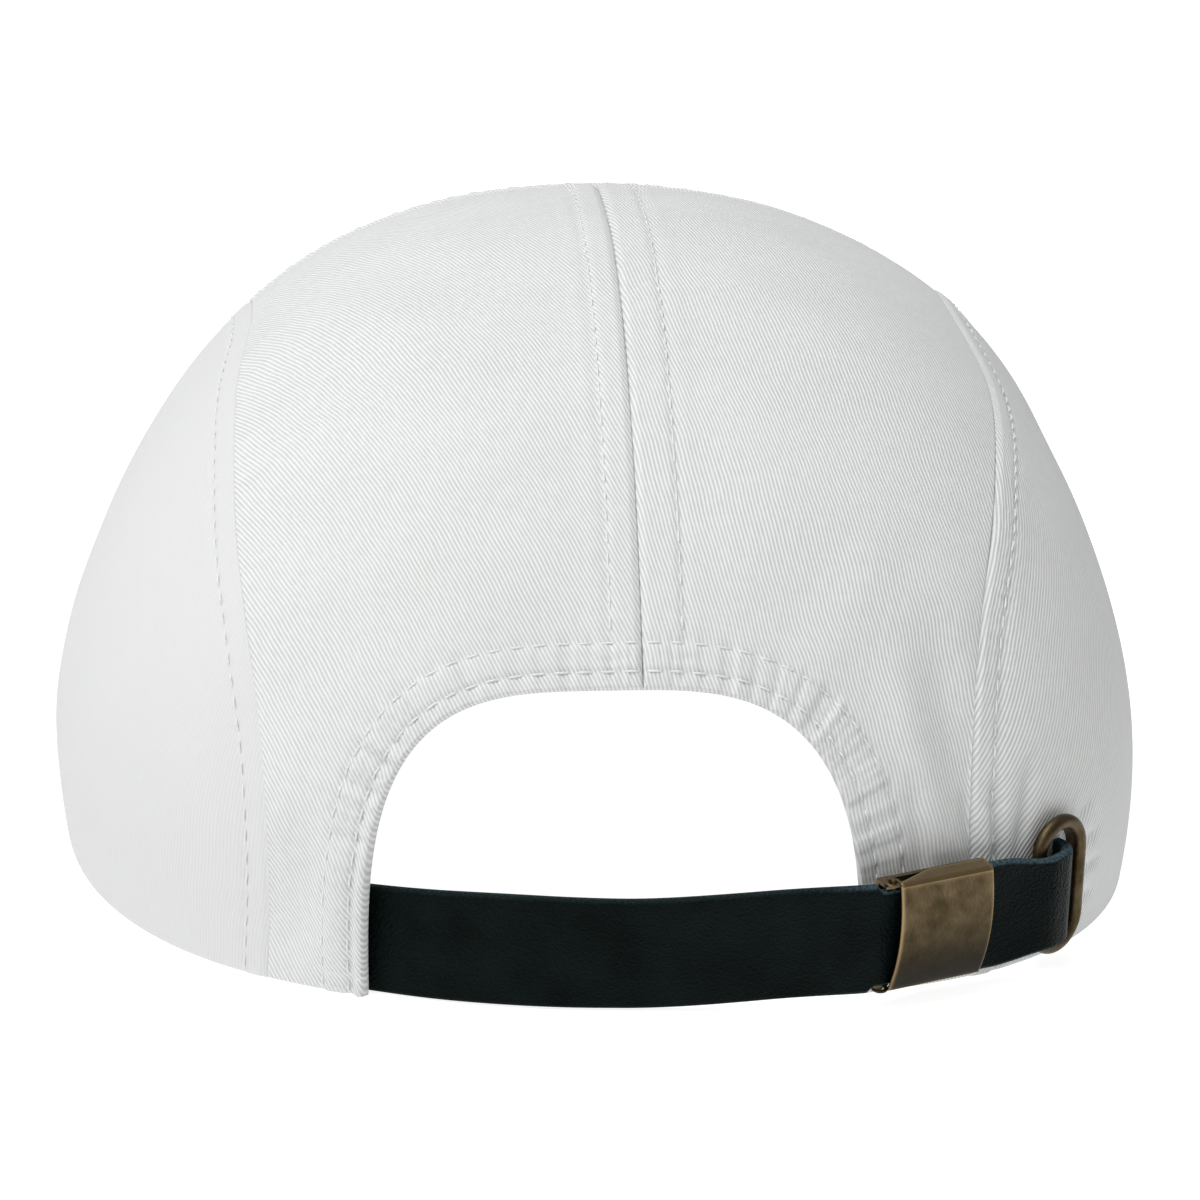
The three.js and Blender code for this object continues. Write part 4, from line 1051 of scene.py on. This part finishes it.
class Hardware:
    """Where the clasp, the eyelet and the layers of the strap lie."""

    def __init__(self, crown, strap, brass):
        self.crown, self.strap, self.brass = crown, strap, brass
        gap = brass.gap
        self.strap_middle = strap.low + strap.width / 2
        self.clasp = hem_frame(crown, brass.clasp_round, self.strap_middle, brass.clasp_turn)
        self.upright = 1 / np.hypot(1, brass.clasp_slope)
        self.plate_out = brass.stand_off + brass.sheet
        self.strap_in = self.plate_out + gap
        self.strap_out = self.strap_in + strap.thickness
        self.cover_in = self.strap_out + gap
        self.hinge_out = self.cover_in - brass.setback - gap
        self.hinge_along = -brass.clasp_length / 2 - brass.pin
        self.straight = brass.ear - self.hinge_along + 2 * gap
        self.flange_in = strap.waist / 2 + gap + brass.wall
        self.eyelet_middle = brass.eyelet_low + brass.eyelet_height / 2
        self.eyelet = hem_frame(crown, brass.eyelet_round, self.eyelet_middle)
        self.seat = self.eyelet[0]
        self.seat_out = crown.normal(self.seat)
        self.seat_along = unit(np.array([-self.seat_out[1], self.seat_out[0], 0]))
        self.seat_rise = np.cross(self.seat_out, self.seat_along)
        self.seat_slope = -self.seat_out[2] / np.hypot(self.seat_out[0], self.seat_out[1])
        self.bead_back = gap
        self.flange_front = -crown.wall - gap - self.fall()
        self.flange_back = self.flange_front - brass.sheet
        self.turn_out = self.bead_back + brass.eyelet_bar + 3 * gap + strap.thickness / 2
        self.turn_in = self.flange_back - 3 * gap - strap.thickness / 2
        self.slot_half = brass.eyelet_width / 2 - brass.eyelet_bar
        rest = self.slot_half - brass.turn_room
        rounding = self.slot_half - np.sqrt(self.slot_half ** 2 - rest ** 2)
        self.tail_low = brass.eyelet_low + brass.eyelet_bar + rounding + gap

    def fall(self):
        """How far the curved cloth falls away behind the eyelet's ends."""
        turn = np.degrees(1 / np.linalg.norm(self.seat))
        up = np.degrees(np.arcsin(self.crown.aim(self.seat)[2]))
        worst = 0.0
        for across in (-1, 1):
            for rise in (-1, 1):
                around = self.brass.eyelet_round + across * turn * self.brass.eyelet_width / 2
                height = up + rise * turn * self.brass.eyelet_height / 2
                end = self.crown.point(self.crown.heading(np.array(around), height))
                worst = max(worst, -(end - self.seat) @ self.seat_out)
        return worst

    def on_clasp(self, along, out, rise):
        """Points on the leaning clasp from their distances along the strap, out from the cloth and
        up from its middle."""
        place, level, outward = self.clasp
        up = unit(np.array([0, 0, 1]) + outward * self.brass.clasp_slope)
        away = np.cross(level, up)
        middle = np.array([place[0], place[1], self.strap_middle + self.brass.clasp_rise])
        along, out, rise = np.broadcast_arrays(along, out, rise)
        return middle + along[..., None] * level + out[..., None] * away + rise[..., None] * up

    @staticmethod
    def at(place, along, out):
        """A plan point a set distance along and out from a place on the hem."""
        p, level, outward = place
        return (p + level * along + outward * out) * np.array([1, 1, 0])

    def route(self, count):
        """The strap's middle line in plan: inside the left of the arch, out over its right, straight
        through the clasp, and in a half turn through the eyelet to its tail inside the crown."""
        crown, strap, brass = self.crown, self.strap, self.brass
        height = self.strap_middle
        stops = [self.at(hem_frame(crown, row[0], height), 0, row[1]) for row in STRAP_RUN]
        middle = (self.strap_in + strap.thickness / 2) / self.upright
        stops += [self.at(self.clasp, self.straight * k / 2, middle) for k in (-2, -1, 0, 1, 2)]
        radius = (self.turn_out - self.turn_in) / 2
        centre = (self.turn_out + self.turn_in) / 2
        start = self.slot_half - brass.turn_room - strap.thickness / 2 - radius
        stops.append(self.at(self.eyelet, -brass.eyelet_width / 2 - brass.gap, self.turn_out))
        for a in np.linspace(0, np.pi, 9):
            stops.append(self.at(self.eyelet, start + radius * np.sin(a), centre + radius * np.cos(a)))
        stops.append(self.at(self.eyelet, -brass.eyelet_width / 2, self.turn_in))
        for run in (TAIL_START, (TAIL_START + strap.tail) / 2, strap.tail):
            around = brass.eyelet_round - np.degrees(run / crown.half[1])
            stops.append(self.at(hem_frame(crown, around, height), 0, self.turn_in - crown.wall))
        return smooth_path(stops, count)


def hardware_of(scene):
    """The hardware that a scene's settings give."""
    crown, strap, brass = [
        values_of(getattr(scene, name)) for name in ("cap_crown", "cap_strap", "cap_brass")]
    return Hardware(Crown(crown), strap, brass)


class CAP_OT_crown(bpy.types.Operator):
    """Makes the five twill panels and their rows of stitches"""
    bl_idname = "cap.crown"
    bl_label = "Crown"

    def execute(self, context):
        s = values_of(context.scene.cap_crown)
        sewing = Sewing(Crown(s), s)
        cloth = twill_material(s, "woven_cotton_twill", s.cloth_colour)
        # The left side panel gets a copy of the twill with flatter ribs and a darker colour, which is
        # painted shade
        pressed = twill_material(s, "pressed_cotton_twill", s.pressed_colour, s.pressed)
        for name in PANELS:
            material = pressed if name == "side_panel_left" else cloth
            build_panel(sewing, name, material)
        thread = thread_material(s)
        inner, outer = s.arch_rows
        row = s.seam_row
        left_arch = even(sewing.arch_left, ROW_STEP)
        right_arch = even(sewing.arch_right, ROW_STEP)
        # The centre seam's rows start 8 mm up, past the arch's outer row
        seam = sewing.centre[int(8 / SEAM_STEP):]
        rows = {
            "arch_stitches": [
                crown_row(sewing, "back_panel_left", left_arch, inner, s),
                crown_row(sewing, "back_panel_left", left_arch, outer, s),
                crown_row(sewing, "back_panel_right", right_arch, inner, s),
                crown_row(sewing, "back_panel_right", right_arch, outer, s),
            ],
            "centre_stitches": [
                crown_row(sewing, "back_panel_left", seam, row + CENTRE_ROWS[0], s),
                crown_row(sewing, "back_panel_right", seam, -row - CENTRE_ROWS[1], s),
            ],
            "side_stitches": [
                crown_row(sewing, "side_panel_left", sewing.left, row, s),
                crown_row(sewing, "side_panel_right", sewing.right, -row, s),
            ],
            "cross_stitches": [
                crown_row(sewing, "front_panel", sewing.cross, row, s),
            ],
        }
        for name, parts in rows.items():
            points, faces = join_stitches(parts)
            add_piece(name, points, faces, thread)
        return {"FINISHED"}


class CAP_OT_peak(bpy.types.Operator):
    """Makes the stiff peak with its rows of stitches"""
    bl_idname = "cap.peak"
    bl_label = "Peak"

    def execute(self, context):
        s = values_of(context.scene.cap_crown)
        crown = Crown(s)
        points, faces, uv, rows = peak_shape(crown, s)
        cloth = bpy.data.materials["woven_cotton_twill"]
        add_piece("peak_cloth", points, faces, cloth, uv, replaces=["peak"])
        points, faces = join_stitches(rows)
        thread = bpy.data.materials["spun_polyester_thread"]
        add_piece("peak_stitches", points, faces, thread)
        return {"FINISHED"}


# How square the peak's outline is: 2 is an ellipse, more is squarer
PEAK_SQUARE = 2.4
# What the peak's corners stand in from its full width, its gap to the cloth, and its rows of
# stitches: how many, the first one's distance from the edge, their distance from each other and the
# depth of their channels, in millimetres
PEAK_CORNER = 4
PEAK_GAP = 0.3
PEAK_ROWS = 9
PEAK_FIRST_ROW = 5.0
PEAK_ROW_PITCH = 6.2
PEAK_CHANNEL = 0.18


def peak_edges(crown, s, shares):
    """The peak's inner edge along the front hem and its outer edge, a squarish half oval."""
    around = np.linspace(90, 180, 900)
    reach = crown.point(crown.heading(around, 0.0))
    first = around[np.flatnonzero(reach[:, 0] <= s.peak_width / 2 - PEAK_CORNER)[0]]
    base = np.interp(first, around, reach[:, 1])
    turn = first + (360 - 2 * first) * shares
    hem = crown.at_height(turn, lambda p: crown.lift(p[:, 0]) + s.peak_board)
    start = hem + unit(crown.normal(hem) * np.array([1, 1, 0])) * PEAK_GAP
    a = np.pi * shares
    tip = crown.half[1] * (1 - crown.tuck) + s.peak_reach
    x = s.peak_width / 2 * np.sign(np.cos(a)) * np.abs(np.cos(a)) ** (2 / PEAK_SQUARE)
    y = base + (tip - base) * np.sin(a) ** (2 / PEAK_SQUARE)
    return start[:, :2], np.stack([x, y], -1)


def peak_shape(crown, s):
    """The peak: for each share along it, a section that runs out over the top face, round the edge
    and back under it, arched across. Its rows of stitches follow the outer edge."""
    shares = eased(261, 0.6)
    start, stop = peak_edges(crown, s, np.clip(shares, 1e-5, 1 - 1e-5))
    across = 1 - (1 - np.linspace(0, 1, 90)) ** 1.15
    half = s.peak_board / 2
    wide = np.linalg.norm(stop - start, axis=1)
    plan = start[:, None] + (stop - start)[:, None] * across[None, :, None]
    edge = wide[:, None] * (1 - across[None])
    along = run_of(np.c_[stop, 0 * shares])[:, None]
    tips = np.minimum(along, along[-1] - along)
    rim = np.minimum(edge, np.minimum(wide[:, None] * across[None] + 0.4, tips + 0.25))
    rounding = np.sqrt(np.clip(1 - (1 - np.clip(rim / half, 0, 1)) ** 2, 0.01, 1))
    offsets = [PEAK_FIRST_ROW + PEAK_ROW_PITCH * k for k in range(PEAK_ROWS)]
    channel = sum(-PEAK_CHANNEL * bump(edge, offset, 0.6) for offset in offsets)
    middle = crown.lift(plan[..., 0]) + half
    top = np.dstack([plan, middle + (half + channel) * rounding])
    under = np.dstack([plan, middle - (half + 0.6 * channel) * rounding])
    points, faces = sheet_of(top.transpose(1, 0, 2), under.transpose(1, 0, 2))
    a = np.radians(PANELS["front_panel"])
    x, y = plan.transpose(1, 0, 2).reshape(-1, 2).T
    uv = np.stack([x * np.cos(a) + y * np.sin(a), y * np.cos(a) - x * np.sin(a)], -1)
    rows = []
    for offset in offsets:
        line = stop + (start - stop) * (offset / np.maximum(wide, 1e-6))[:, None]
        line = line[wide > offset + 3]
        for face in (1, -1):
            z = crown.lift(line[:, 0]) + half + face * (half - PEAK_CHANNEL)
            path = even(np.c_[line, z], ROW_STEP)
            normal = np.tile(np.array([0, 0, float(face)]), (len(path), 1))
            rows.append(stitch_points(path, normal, s.stitch, s.thread / 2))
    return points, faces, np.concatenate([uv, uv]), rows


class CAP_OT_strap(bpy.types.Operator):
    """Makes the black leather strap with its raw edges and its turn"""
    bl_idname = "cap.strap"
    bl_label = "Strap"

    def execute(self, context):
        hardware = hardware_of(context.scene)
        points, faces, uv, raw = strap_shape(hardware)
        piece = add_piece(
            "strap_leather", points, faces, leather_material(hardware.strap), uv, {"raw_edge": raw},
            replaces=["strap"])
        return {"FINISHED"}


# The strap: the rounding of its corners, how far its upper edge dips in the middle and settles at the
# left, how far its lower edge settles there, and how far its faces swell, in millimetres
STRAP_CORNER = 0.5
STRAP_DIP = 0.45
STRAP_SETTLE_HIGH = 1.7
STRAP_SETTLE_LOW = 0.3
STRAP_SWELL = 0.1


def strap_edges(hardware, path, run, clasp_at, tail):
    """The heights of the strap's lower and upper edge along its path, and its rise. It narrows to
    its waist inside the clasp and again towards its tail, and rises to the clasp."""
    strap, brass = hardware.strap, hardware.brass
    reach, end = hardware.straight, brass.clasp_length / 2
    from_clasp = run - run[clasp_at]
    waist = ramp(from_clasp, -reach - 0.3, 0.6 - reach) * ramp(-from_clasp, -end - 0.8, -end)
    narrow = (strap.waist - 2 * strap.thickness * brass.clasp_slope) * hardware.upright
    trim = waist * (strap.width - narrow) / 2
    lowered = (hardware.strap_in + strap.thickness / 2) * brass.clasp_slope * hardware.upright
    rise = (brass.clasp_rise - lowered) * ramp(path[:, 0], 0, hardware.crown.arch[0] / 2)
    rise = rise * (1 - tail)
    # The dip lies 3 mm left of the middle, and the strap has settled fully 44 mm left of it
    free = path[:, 1] < 0
    dip = STRAP_DIP * bump(path[:, 0], -3, 13) * free
    settled = ramp(-path[:, 0], 3, 44) * free
    low = (strap.low - strap.sag) * (1 - tail) + hardware.tail_low * tail + trim + rise
    low = low - STRAP_SETTLE_LOW * settled
    high = (strap.low + strap.width) * (1 - tail) + (hardware.tail_low + strap.tail_width) * tail
    high = high - trim + rise - dip - STRAP_SETTLE_HIGH * settled
    return low, high, rise


def strap_shape(hardware):
    """The strap: a flat section with rounded corners carried along its route. A rectangle is run
    round, and each point of it is drawn in to an arc at the corners. The strap leans out towards
    the clasp, and in with the cloth towards its tail. The result also says where it is a raw edge."""
    strap, brass = hardware.strap, hardware.brass
    count = 460
    path = hardware.route(count)
    run = run_of(path)
    ahead = unit(np.gradient(path, axis=0))
    side = np.stack([ahead[:, 1], -ahead[:, 0], 0 * run], -1)
    middle = (hardware.strap_in + strap.thickness / 2) / hardware.upright
    clasp_at, leave, eyelet_at = [np.linalg.norm(path - place, axis=1).argmin() for place in (
        hardware.at(hardware.clasp, 0, middle),
        hardware.at(hardware.clasp, hardware.straight, middle),
        hardware.at(hardware.eyelet, -brass.eyelet_width / 2, hardware.turn_out))]
    tail = ramp(np.arange(count), leave, eyelet_at)
    low, high, rise = strap_edges(hardware, path, run, clasp_at, tail)
    half_arch = hardware.crown.arch[0] / 2
    slope = brass.clasp_slope * ramp(path[:, 0], -half_arch, half_arch)
    slope = slope * (1 - tail) + hardware.seat_slope * tail
    pivot = hardware.strap_middle * (1 - tail) + hardware.eyelet_middle * tail + rise
    half = strap.thickness / 2
    face, edge = 2 * eased(26, 0.6) - 1, 2 * eased(12, 0.6) - 1
    out = np.concatenate([0 * face + 1, -edge[1:-1], 0 * face - 1, edge[1:-1]])[None] * half
    tall = ((high - low) / 2)[:, None]
    up = np.concatenate([face, 0 * edge[1:-1] + 1, -face, 0 * edge[1:-1] - 1])[None] * tall
    core_out = np.clip(out, STRAP_CORNER - half, half - STRAP_CORNER)
    core_up = np.clip(up, STRAP_CORNER - tall, tall - STRAP_CORNER)
    out, up = np.broadcast_arrays(out, up)
    arm = unit(np.stack([out - core_out, up - core_up], -1)) * STRAP_CORNER
    out, up = core_out + arm[..., 0], core_up + arm[..., 1]
    z = up + ((high + low) / 2)[:, None]
    lean = unit(path) * slope[:, None]
    swell = STRAP_SWELL * ripple(run * 0.16, 71)[:, None] * np.cos(np.pi / 2 * up / tall)
    points = path[:, None] + lean[:, None] * (z - pivot[:, None])[..., None]
    points = points + side[:, None] * (out + swell)[..., None]
    points[..., 2] = z
    columns = out.shape[1]
    faces = grid_faces(count, columns, closed=True)[:, ::-1].tolist()
    faces += [list(range(columns)), list(range((count - 1) * columns, count * columns))[::-1]]
    around = run_of(points[clasp_at // 2])
    uv = np.stack(np.broadcast_arrays(run[:, None], around[None]), -1).reshape(-1, 2)
    # The cut edges are bare near the clasp and the eyelet, and dyed along the free run
    bare = 0.12 + 0.88 * ramp(run, run[clasp_at] - 20, run[clasp_at] - 8)
    raw = ramp(np.abs(up) - tall, -0.5, -0.15) * bare[:, None]
    raw = np.maximum(raw, 0.8 * ramp(-out, 0, 0.3 * half))
    return points.reshape(-1, 3), faces, uv, raw.ravel()


class CAP_OT_brass(bpy.types.Operator):
    """Finishes the clasp and makes the oblong eyelet"""
    bl_idname = "cap.brass"
    bl_label = "Clasp and eyelet"

    def execute(self, context):
        hardware = hardware_of(context.scene)
        brass = hardware.brass
        material = brass_material(brass)
        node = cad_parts["clasp_frame"]
        node.data.materials.clear()
        node.data.materials.append(material)
        weld = node.modifiers.new("weld", "WELD")
        weld.merge_threshold = 1e-6
        bevel = node.modifiers.new("bevel", "BEVEL")
        bevel.width = brass.sheet / 5 * MM
        bevel.segments = 3
        bevel.angle_limit = np.radians(40)
        points, faces, worn, aged = lever_shape(hardware)
        lever = add_piece(
            "clasp_lever_cover", points, faces, material, marks={"worn": worn, "aged": aged},
            body="lever", replaces=["clasp_lever"])
        points, faces = eyelet_shape(hardware)
        ring = add_piece(
            "slot_eyelet_ring", points, faces, material,
            marks={"aged": np.full(len(points), EYELET_AGED)}, replaces=["slot_eyelet"])
        return {"FINISHED"}


# How dark the eyelet's patina is, how worn the lever's ears are and how worn its inner face is, as
# shares, and the width of the worn edges in millimetres
EYELET_AGED = 0.4
EAR_WORN = 0.35
INNER_WORN = 0.3
WORN_EDGE = 0.35


def cover_sheet(hardware, flat):
    """The lever's bent sheet as points along the clasp, out from the cloth and up, with its faces
    and how worn it is. Its profile runs out over the lower flange, round a bend, up the bowed cover
    and round a bend onto the upper flange. It is carried along the strap, and the flanges leave a
    slit beside the ears."""
    brass, gap = hardware.brass, hardware.brass.gap
    hinge, bend = hardware.hinge_along, brass.bend
    left, right = hinge + brass.inset, brass.clasp_length / 2
    x = left + (right - left) * eased(48, 0.8)
    tip = hardware.plate_out + gap / 2
    back = np.interp(x, [left, hinge + brass.ear, hinge + brass.slit, right], [
        hardware.hinge_out, hardware.cover_in - gap, tip, tip])
    face = hardware.cover_in + brass.sheet / 2
    a = np.linspace(0, np.pi / 2, 10)
    w = (flat - bend) * (2 * eased(60, 0.5) - 1)
    bow = brass.bow * (1 - (w / flat) ** 2)
    corner = face + brass.bow * (1 - ((flat - bend) / flat) ** 2)
    arc_out, arc_up = corner - bend + bend * np.sin(a), flat - bend + bend * np.cos(a)
    flange = back[None] + (corner - bend - back[None]) * eased(14, 0.8)[:-1, None]
    wide = np.ones_like(x)[None]
    out = np.concatenate([
        flange, arc_out[:, None] * wide, (face + bow)[1:-1, None] * wide,
        arc_out[::-1, None] * wide, flange[::-1]])
    low = np.full(len(flange), -flat)
    up = np.concatenate([low, -arc_up, w[1:-1], arc_up[::-1], -low])[:, None] * wide
    along = x[None] * np.ones_like(out)
    middle = np.stack([along, out, up], -1)
    normal = unit(np.cross(np.gradient(middle, axis=1), np.gradient(middle, axis=0)))
    normal = normal * np.sign((normal * (middle - [0, hardware.strap_in, 0])).sum(-1))[..., None]
    steps = np.linalg.norm(np.diff(middle, axis=0), axis=-1)
    run = np.concatenate([np.zeros((1, len(x))), np.cumsum(steps, axis=0)])
    edge = np.minimum(np.minimum(run, run[-1] - run), np.minimum(along - left, right - along))
    half = np.where(np.abs(up) < flat - bend / 2, brass.sheet, brass.wall)[..., None] / 2
    rounding = np.sqrt(np.clip(1 - (1 - np.clip(edge[..., None] / half, 0, 1)) ** 2, 0.02, 1))
    points, faces = sheet_of(middle + normal * half * rounding, middle - normal * half * rounding)
    bends = bump(np.abs(up), flat - bend * 0.3, 0.5)
    worn = np.clip(bump(edge, 0, WORN_EDGE) + 0.6 * bends, 0, 1).ravel()
    return points, faces, np.concatenate([worn, INNER_WORN * worn])


def lever_shape(hardware):
    """The lever: a bent sheet and an ear round each pin, with how worn it is and its painted shade
    over an even patina: darkest at its lower edge, and darker on top of its upper flange."""
    tall = hardware.flange_in + hardware.brass.wall
    flat = tall - hardware.brass.wall / 2
    points, faces, worn = cover_sheet(hardware, flat)
    for side in (-1, 1):
        ring, ring_faces = ear_ring(hardware, side * flat)
        faces = np.concatenate([faces, ring_faces + len(points)])
        points = np.concatenate([points, ring])
        worn = np.concatenate([worn, np.full(len(ring), EAR_WORN)])
    # Painted shade over an even patina: darker towards the lower edge and on top of the upper flange,
    # less where the brass is worn
    aged = 0.2 + 0.8 * ramp(-points[:, 2], -0.9 * tall, 0.9 * tall)
    aged = np.maximum(aged, 0.55 * ramp(points[:, 2], flat - 0.5, flat - 0.1)) * (1 - 0.6 * worn)
    return hardware.on_clasp(*points.T), faces, worn, aged


def ear_ring(hardware, height):
    """An ear's ring round its pin: a small rounded section turned round the hinge."""
    brass = hardware.brass
    inner, outer = brass.pin + brass.pin_room, brass.ear
    a = np.linspace(0, 2 * np.pi, 40, endpoint=False)[:, None]
    b = np.linspace(0, 2 * np.pi, 16, endpoint=False)[None]
    reach = (inner + outer) / 2 + (outer - inner) / 2 * np.sign(np.cos(b)) * np.abs(np.cos(b)) ** 0.5
    lift = brass.wall / 2 * np.sign(np.sin(b)) * np.abs(np.sin(b)) ** 0.5
    points = np.stack(np.broadcast_arrays(
        hardware.hinge_along + reach * np.cos(a), hardware.hinge_out + reach * np.sin(a),
        height + lift + 0 * a), -1)
    return points.reshape(-1, 3), grid_faces(len(a), b.size, closed=True, looped=True)


def eyelet_shape(hardware):
    """The eyelet: one section, a round bead outside, a thin barrel and a flat flange inside,
    carried round an upright oblong with round ends."""
    brass = hardware.brass
    inner, front, back = hardware.slot_half, hardware.flange_front, hardware.flange_back
    barrel, flange = inner + brass.eyelet_barrel, inner + brass.eyelet_flange
    radius = brass.eyelet_bar / 2
    middle = brass.eyelet_width / 2 - radius
    b = np.linspace(-0.12 * np.pi, 1.12 * np.pi, 22)
    # The inside corners are eased by a tenth of a millimetre
    inside = np.array([
        (barrel, hardware.bead_back - 0.1), (barrel, front), (flange, front - 0.1), (flange, back),
        (inner + 0.1, back), (inner, back + 0.15)])
    reach = np.concatenate([middle - radius * np.cos(b), inside[:, 0]])
    out = hardware.bead_back + 0.9 * radius + 1.05 * radius * np.sin(b)
    out = np.concatenate([out, inside[:, 1]])
    count = 160
    stretch = brass.eyelet_height - brass.eyelet_width
    bow = np.pi * middle
    stops = np.cumsum([0, stretch, bow, stretch, bow])
    s = np.linspace(0, stops[-1], count, endpoint=False)
    a = np.interp(s, stops, [0, 0, np.pi, np.pi, 2 * np.pi])[:, None]
    shift = np.interp(s, stops, np.array([-1, 1, 1, -1, -1]) * stretch / 2)[:, None]
    along, rise = reach * np.cos(a), reach * np.sin(a) + shift
    points = hardware.seat + along[..., None] * hardware.seat_along
    points = points + rise[..., None] * hardware.seat_rise + out[None, :, None] * hardware.seat_out
    return points.reshape(-1, 3), grid_faces(count, len(reach), closed=True, looped=True)


# Half the floor's width in metres
FLOOR = 4.0
# The lights: name, the setting that holds the power, place from the middle of the hem and width, both
# in metres, and colour
LIGHTS = [
    ("key_left", "key", (-0.9, -0.9, 0.75), 0.8, (1.0, 0.975, 1.0)),
    ("fill_right", "fill", (1.0, -0.8, 0.6), 0.9, (0.98, 1.0, 0.99)),
    ("top_soft", "top", (-0.35, -0.2, 1.25), 0.8, (1.0, 1.0, 1.0)),
]


class CAP_OT_stage(bpy.types.Operator):
    """Makes the camera, the pale floor and the soft lights"""
    bl_idname = "cap.stage"
    bl_label = "Stage"

    @staticmethod
    def aimed(scene, data, place, back):
        """A camera or light at a place in metres, which looks against the direction back."""
        thing = bpy.data.objects.new(data.name, data)
        thing.location = place
        thing.rotation_mode = "QUATERNION"
        thing.rotation_quaternion = (-Vector(back)).to_track_quat("-Z", "Y")
        scene.collection.objects.link(thing)
        return thing

    def execute(self, context):
        s = values_of(context.scene.cap_stage)
        scene = context.scene
        target = s.target + crown_origin()
        a, e = np.radians(s.azimuth), np.radians(s.elevation)
        back = np.array([-np.sin(a) * np.cos(e), -np.cos(a) * np.cos(e), np.sin(e)])
        data = bpy.data.cameras.new("camera")
        data.lens = s.lens
        data.sensor_width = 36
        data.clip_start = 0.01
        scene.camera = self.aimed(scene, data, (target + back * s.distance) * MM, back)
        mesh = bpy.data.meshes.new("floor")
        corners = [(FLOOR * x, FLOOR * y, 0) for x, y in ((-1, -1), (1, -1), (1, 1), (-1, 1))]
        mesh.from_pydata(corners, [], [(0, 1, 2, 3)])
        mesh.materials.append(floor_material(s))
        floor = bpy.data.objects.new("floor", mesh)
        scene.collection.objects.link(floor)
        for name, power, place, wide, tone in LIGHTS:
            data = bpy.data.lights.new(name, "AREA")
            data.shape = "SQUARE"
            data.size = wide
            data.energy = getattr(s, power)
            data.color = tone
            self.aimed(scene, data, crown_origin() * MM + place, place)
        # An even white room, shown without a film look
        world = bpy.data.worlds.new("studio")
        world.use_nodes = True
        sky = world.node_tree.nodes["Background"]
        sky.inputs["Color"].default_value = (1.0, 1.0, 1.0, 1.0)
        sky.inputs["Strength"].default_value = s.world
        scene.world = world
        scene.view_settings.view_transform = "Standard"
        return {"FINISHED"}


class CAP_PT_panel(bpy.types.Panel):
    """Lists the cap's operators and settings"""
    bl_label = "Five panel cap"
    bl_idname = "CAP_PT_panel"
    bl_space_type = "VIEW_3D"
    bl_region_type = "UI"
    bl_category = "Cap"

    def draw(self, context):
        for operator in OPERATORS:
            self.layout.operator(operator.bl_idname)
        for name, group in SETTINGS.items():
            box = self.layout.box()
            for setting in group.__annotations__:
                box.prop(getattr(context.scene, name), setting)


SETTINGS = {
    "cap_crown": CapCrownSettings,
    "cap_strap": CapStrapSettings,
    "cap_brass": CapBrassSettings,
    "cap_stage": CapStageSettings,
}
OPERATORS = [CAP_OT_stage, CAP_OT_crown, CAP_OT_peak, CAP_OT_strap, CAP_OT_brass]


def register():
    """Makes the settings, the operators and the panel known to Blender."""
    for name, group in SETTINGS.items():
        bpy.utils.register_class(group)
        setattr(bpy.types.Scene, name, bpy.props.PointerProperty(type=group))
    for operator in OPERATORS:
        bpy.utils.register_class(operator)
    bpy.utils.register_class(CAP_PT_panel)


def unregister():
    """Takes them out again."""
    bpy.utils.unregister_class(CAP_PT_panel)
    for operator in reversed(OPERATORS):
        bpy.utils.unregister_class(operator)
    for name, group in reversed(SETTINGS.items()):
        delattr(bpy.types.Scene, name)
        bpy.utils.unregister_class(group)


def main():
    """Builds the whole cap."""
    register()
    bpy.ops.cap.stage()
    bpy.ops.cap.crown()
    bpy.ops.cap.peak()
    bpy.ops.cap.strap()
    bpy.ops.cap.brass()


if __name__ == "__main__":
    main()
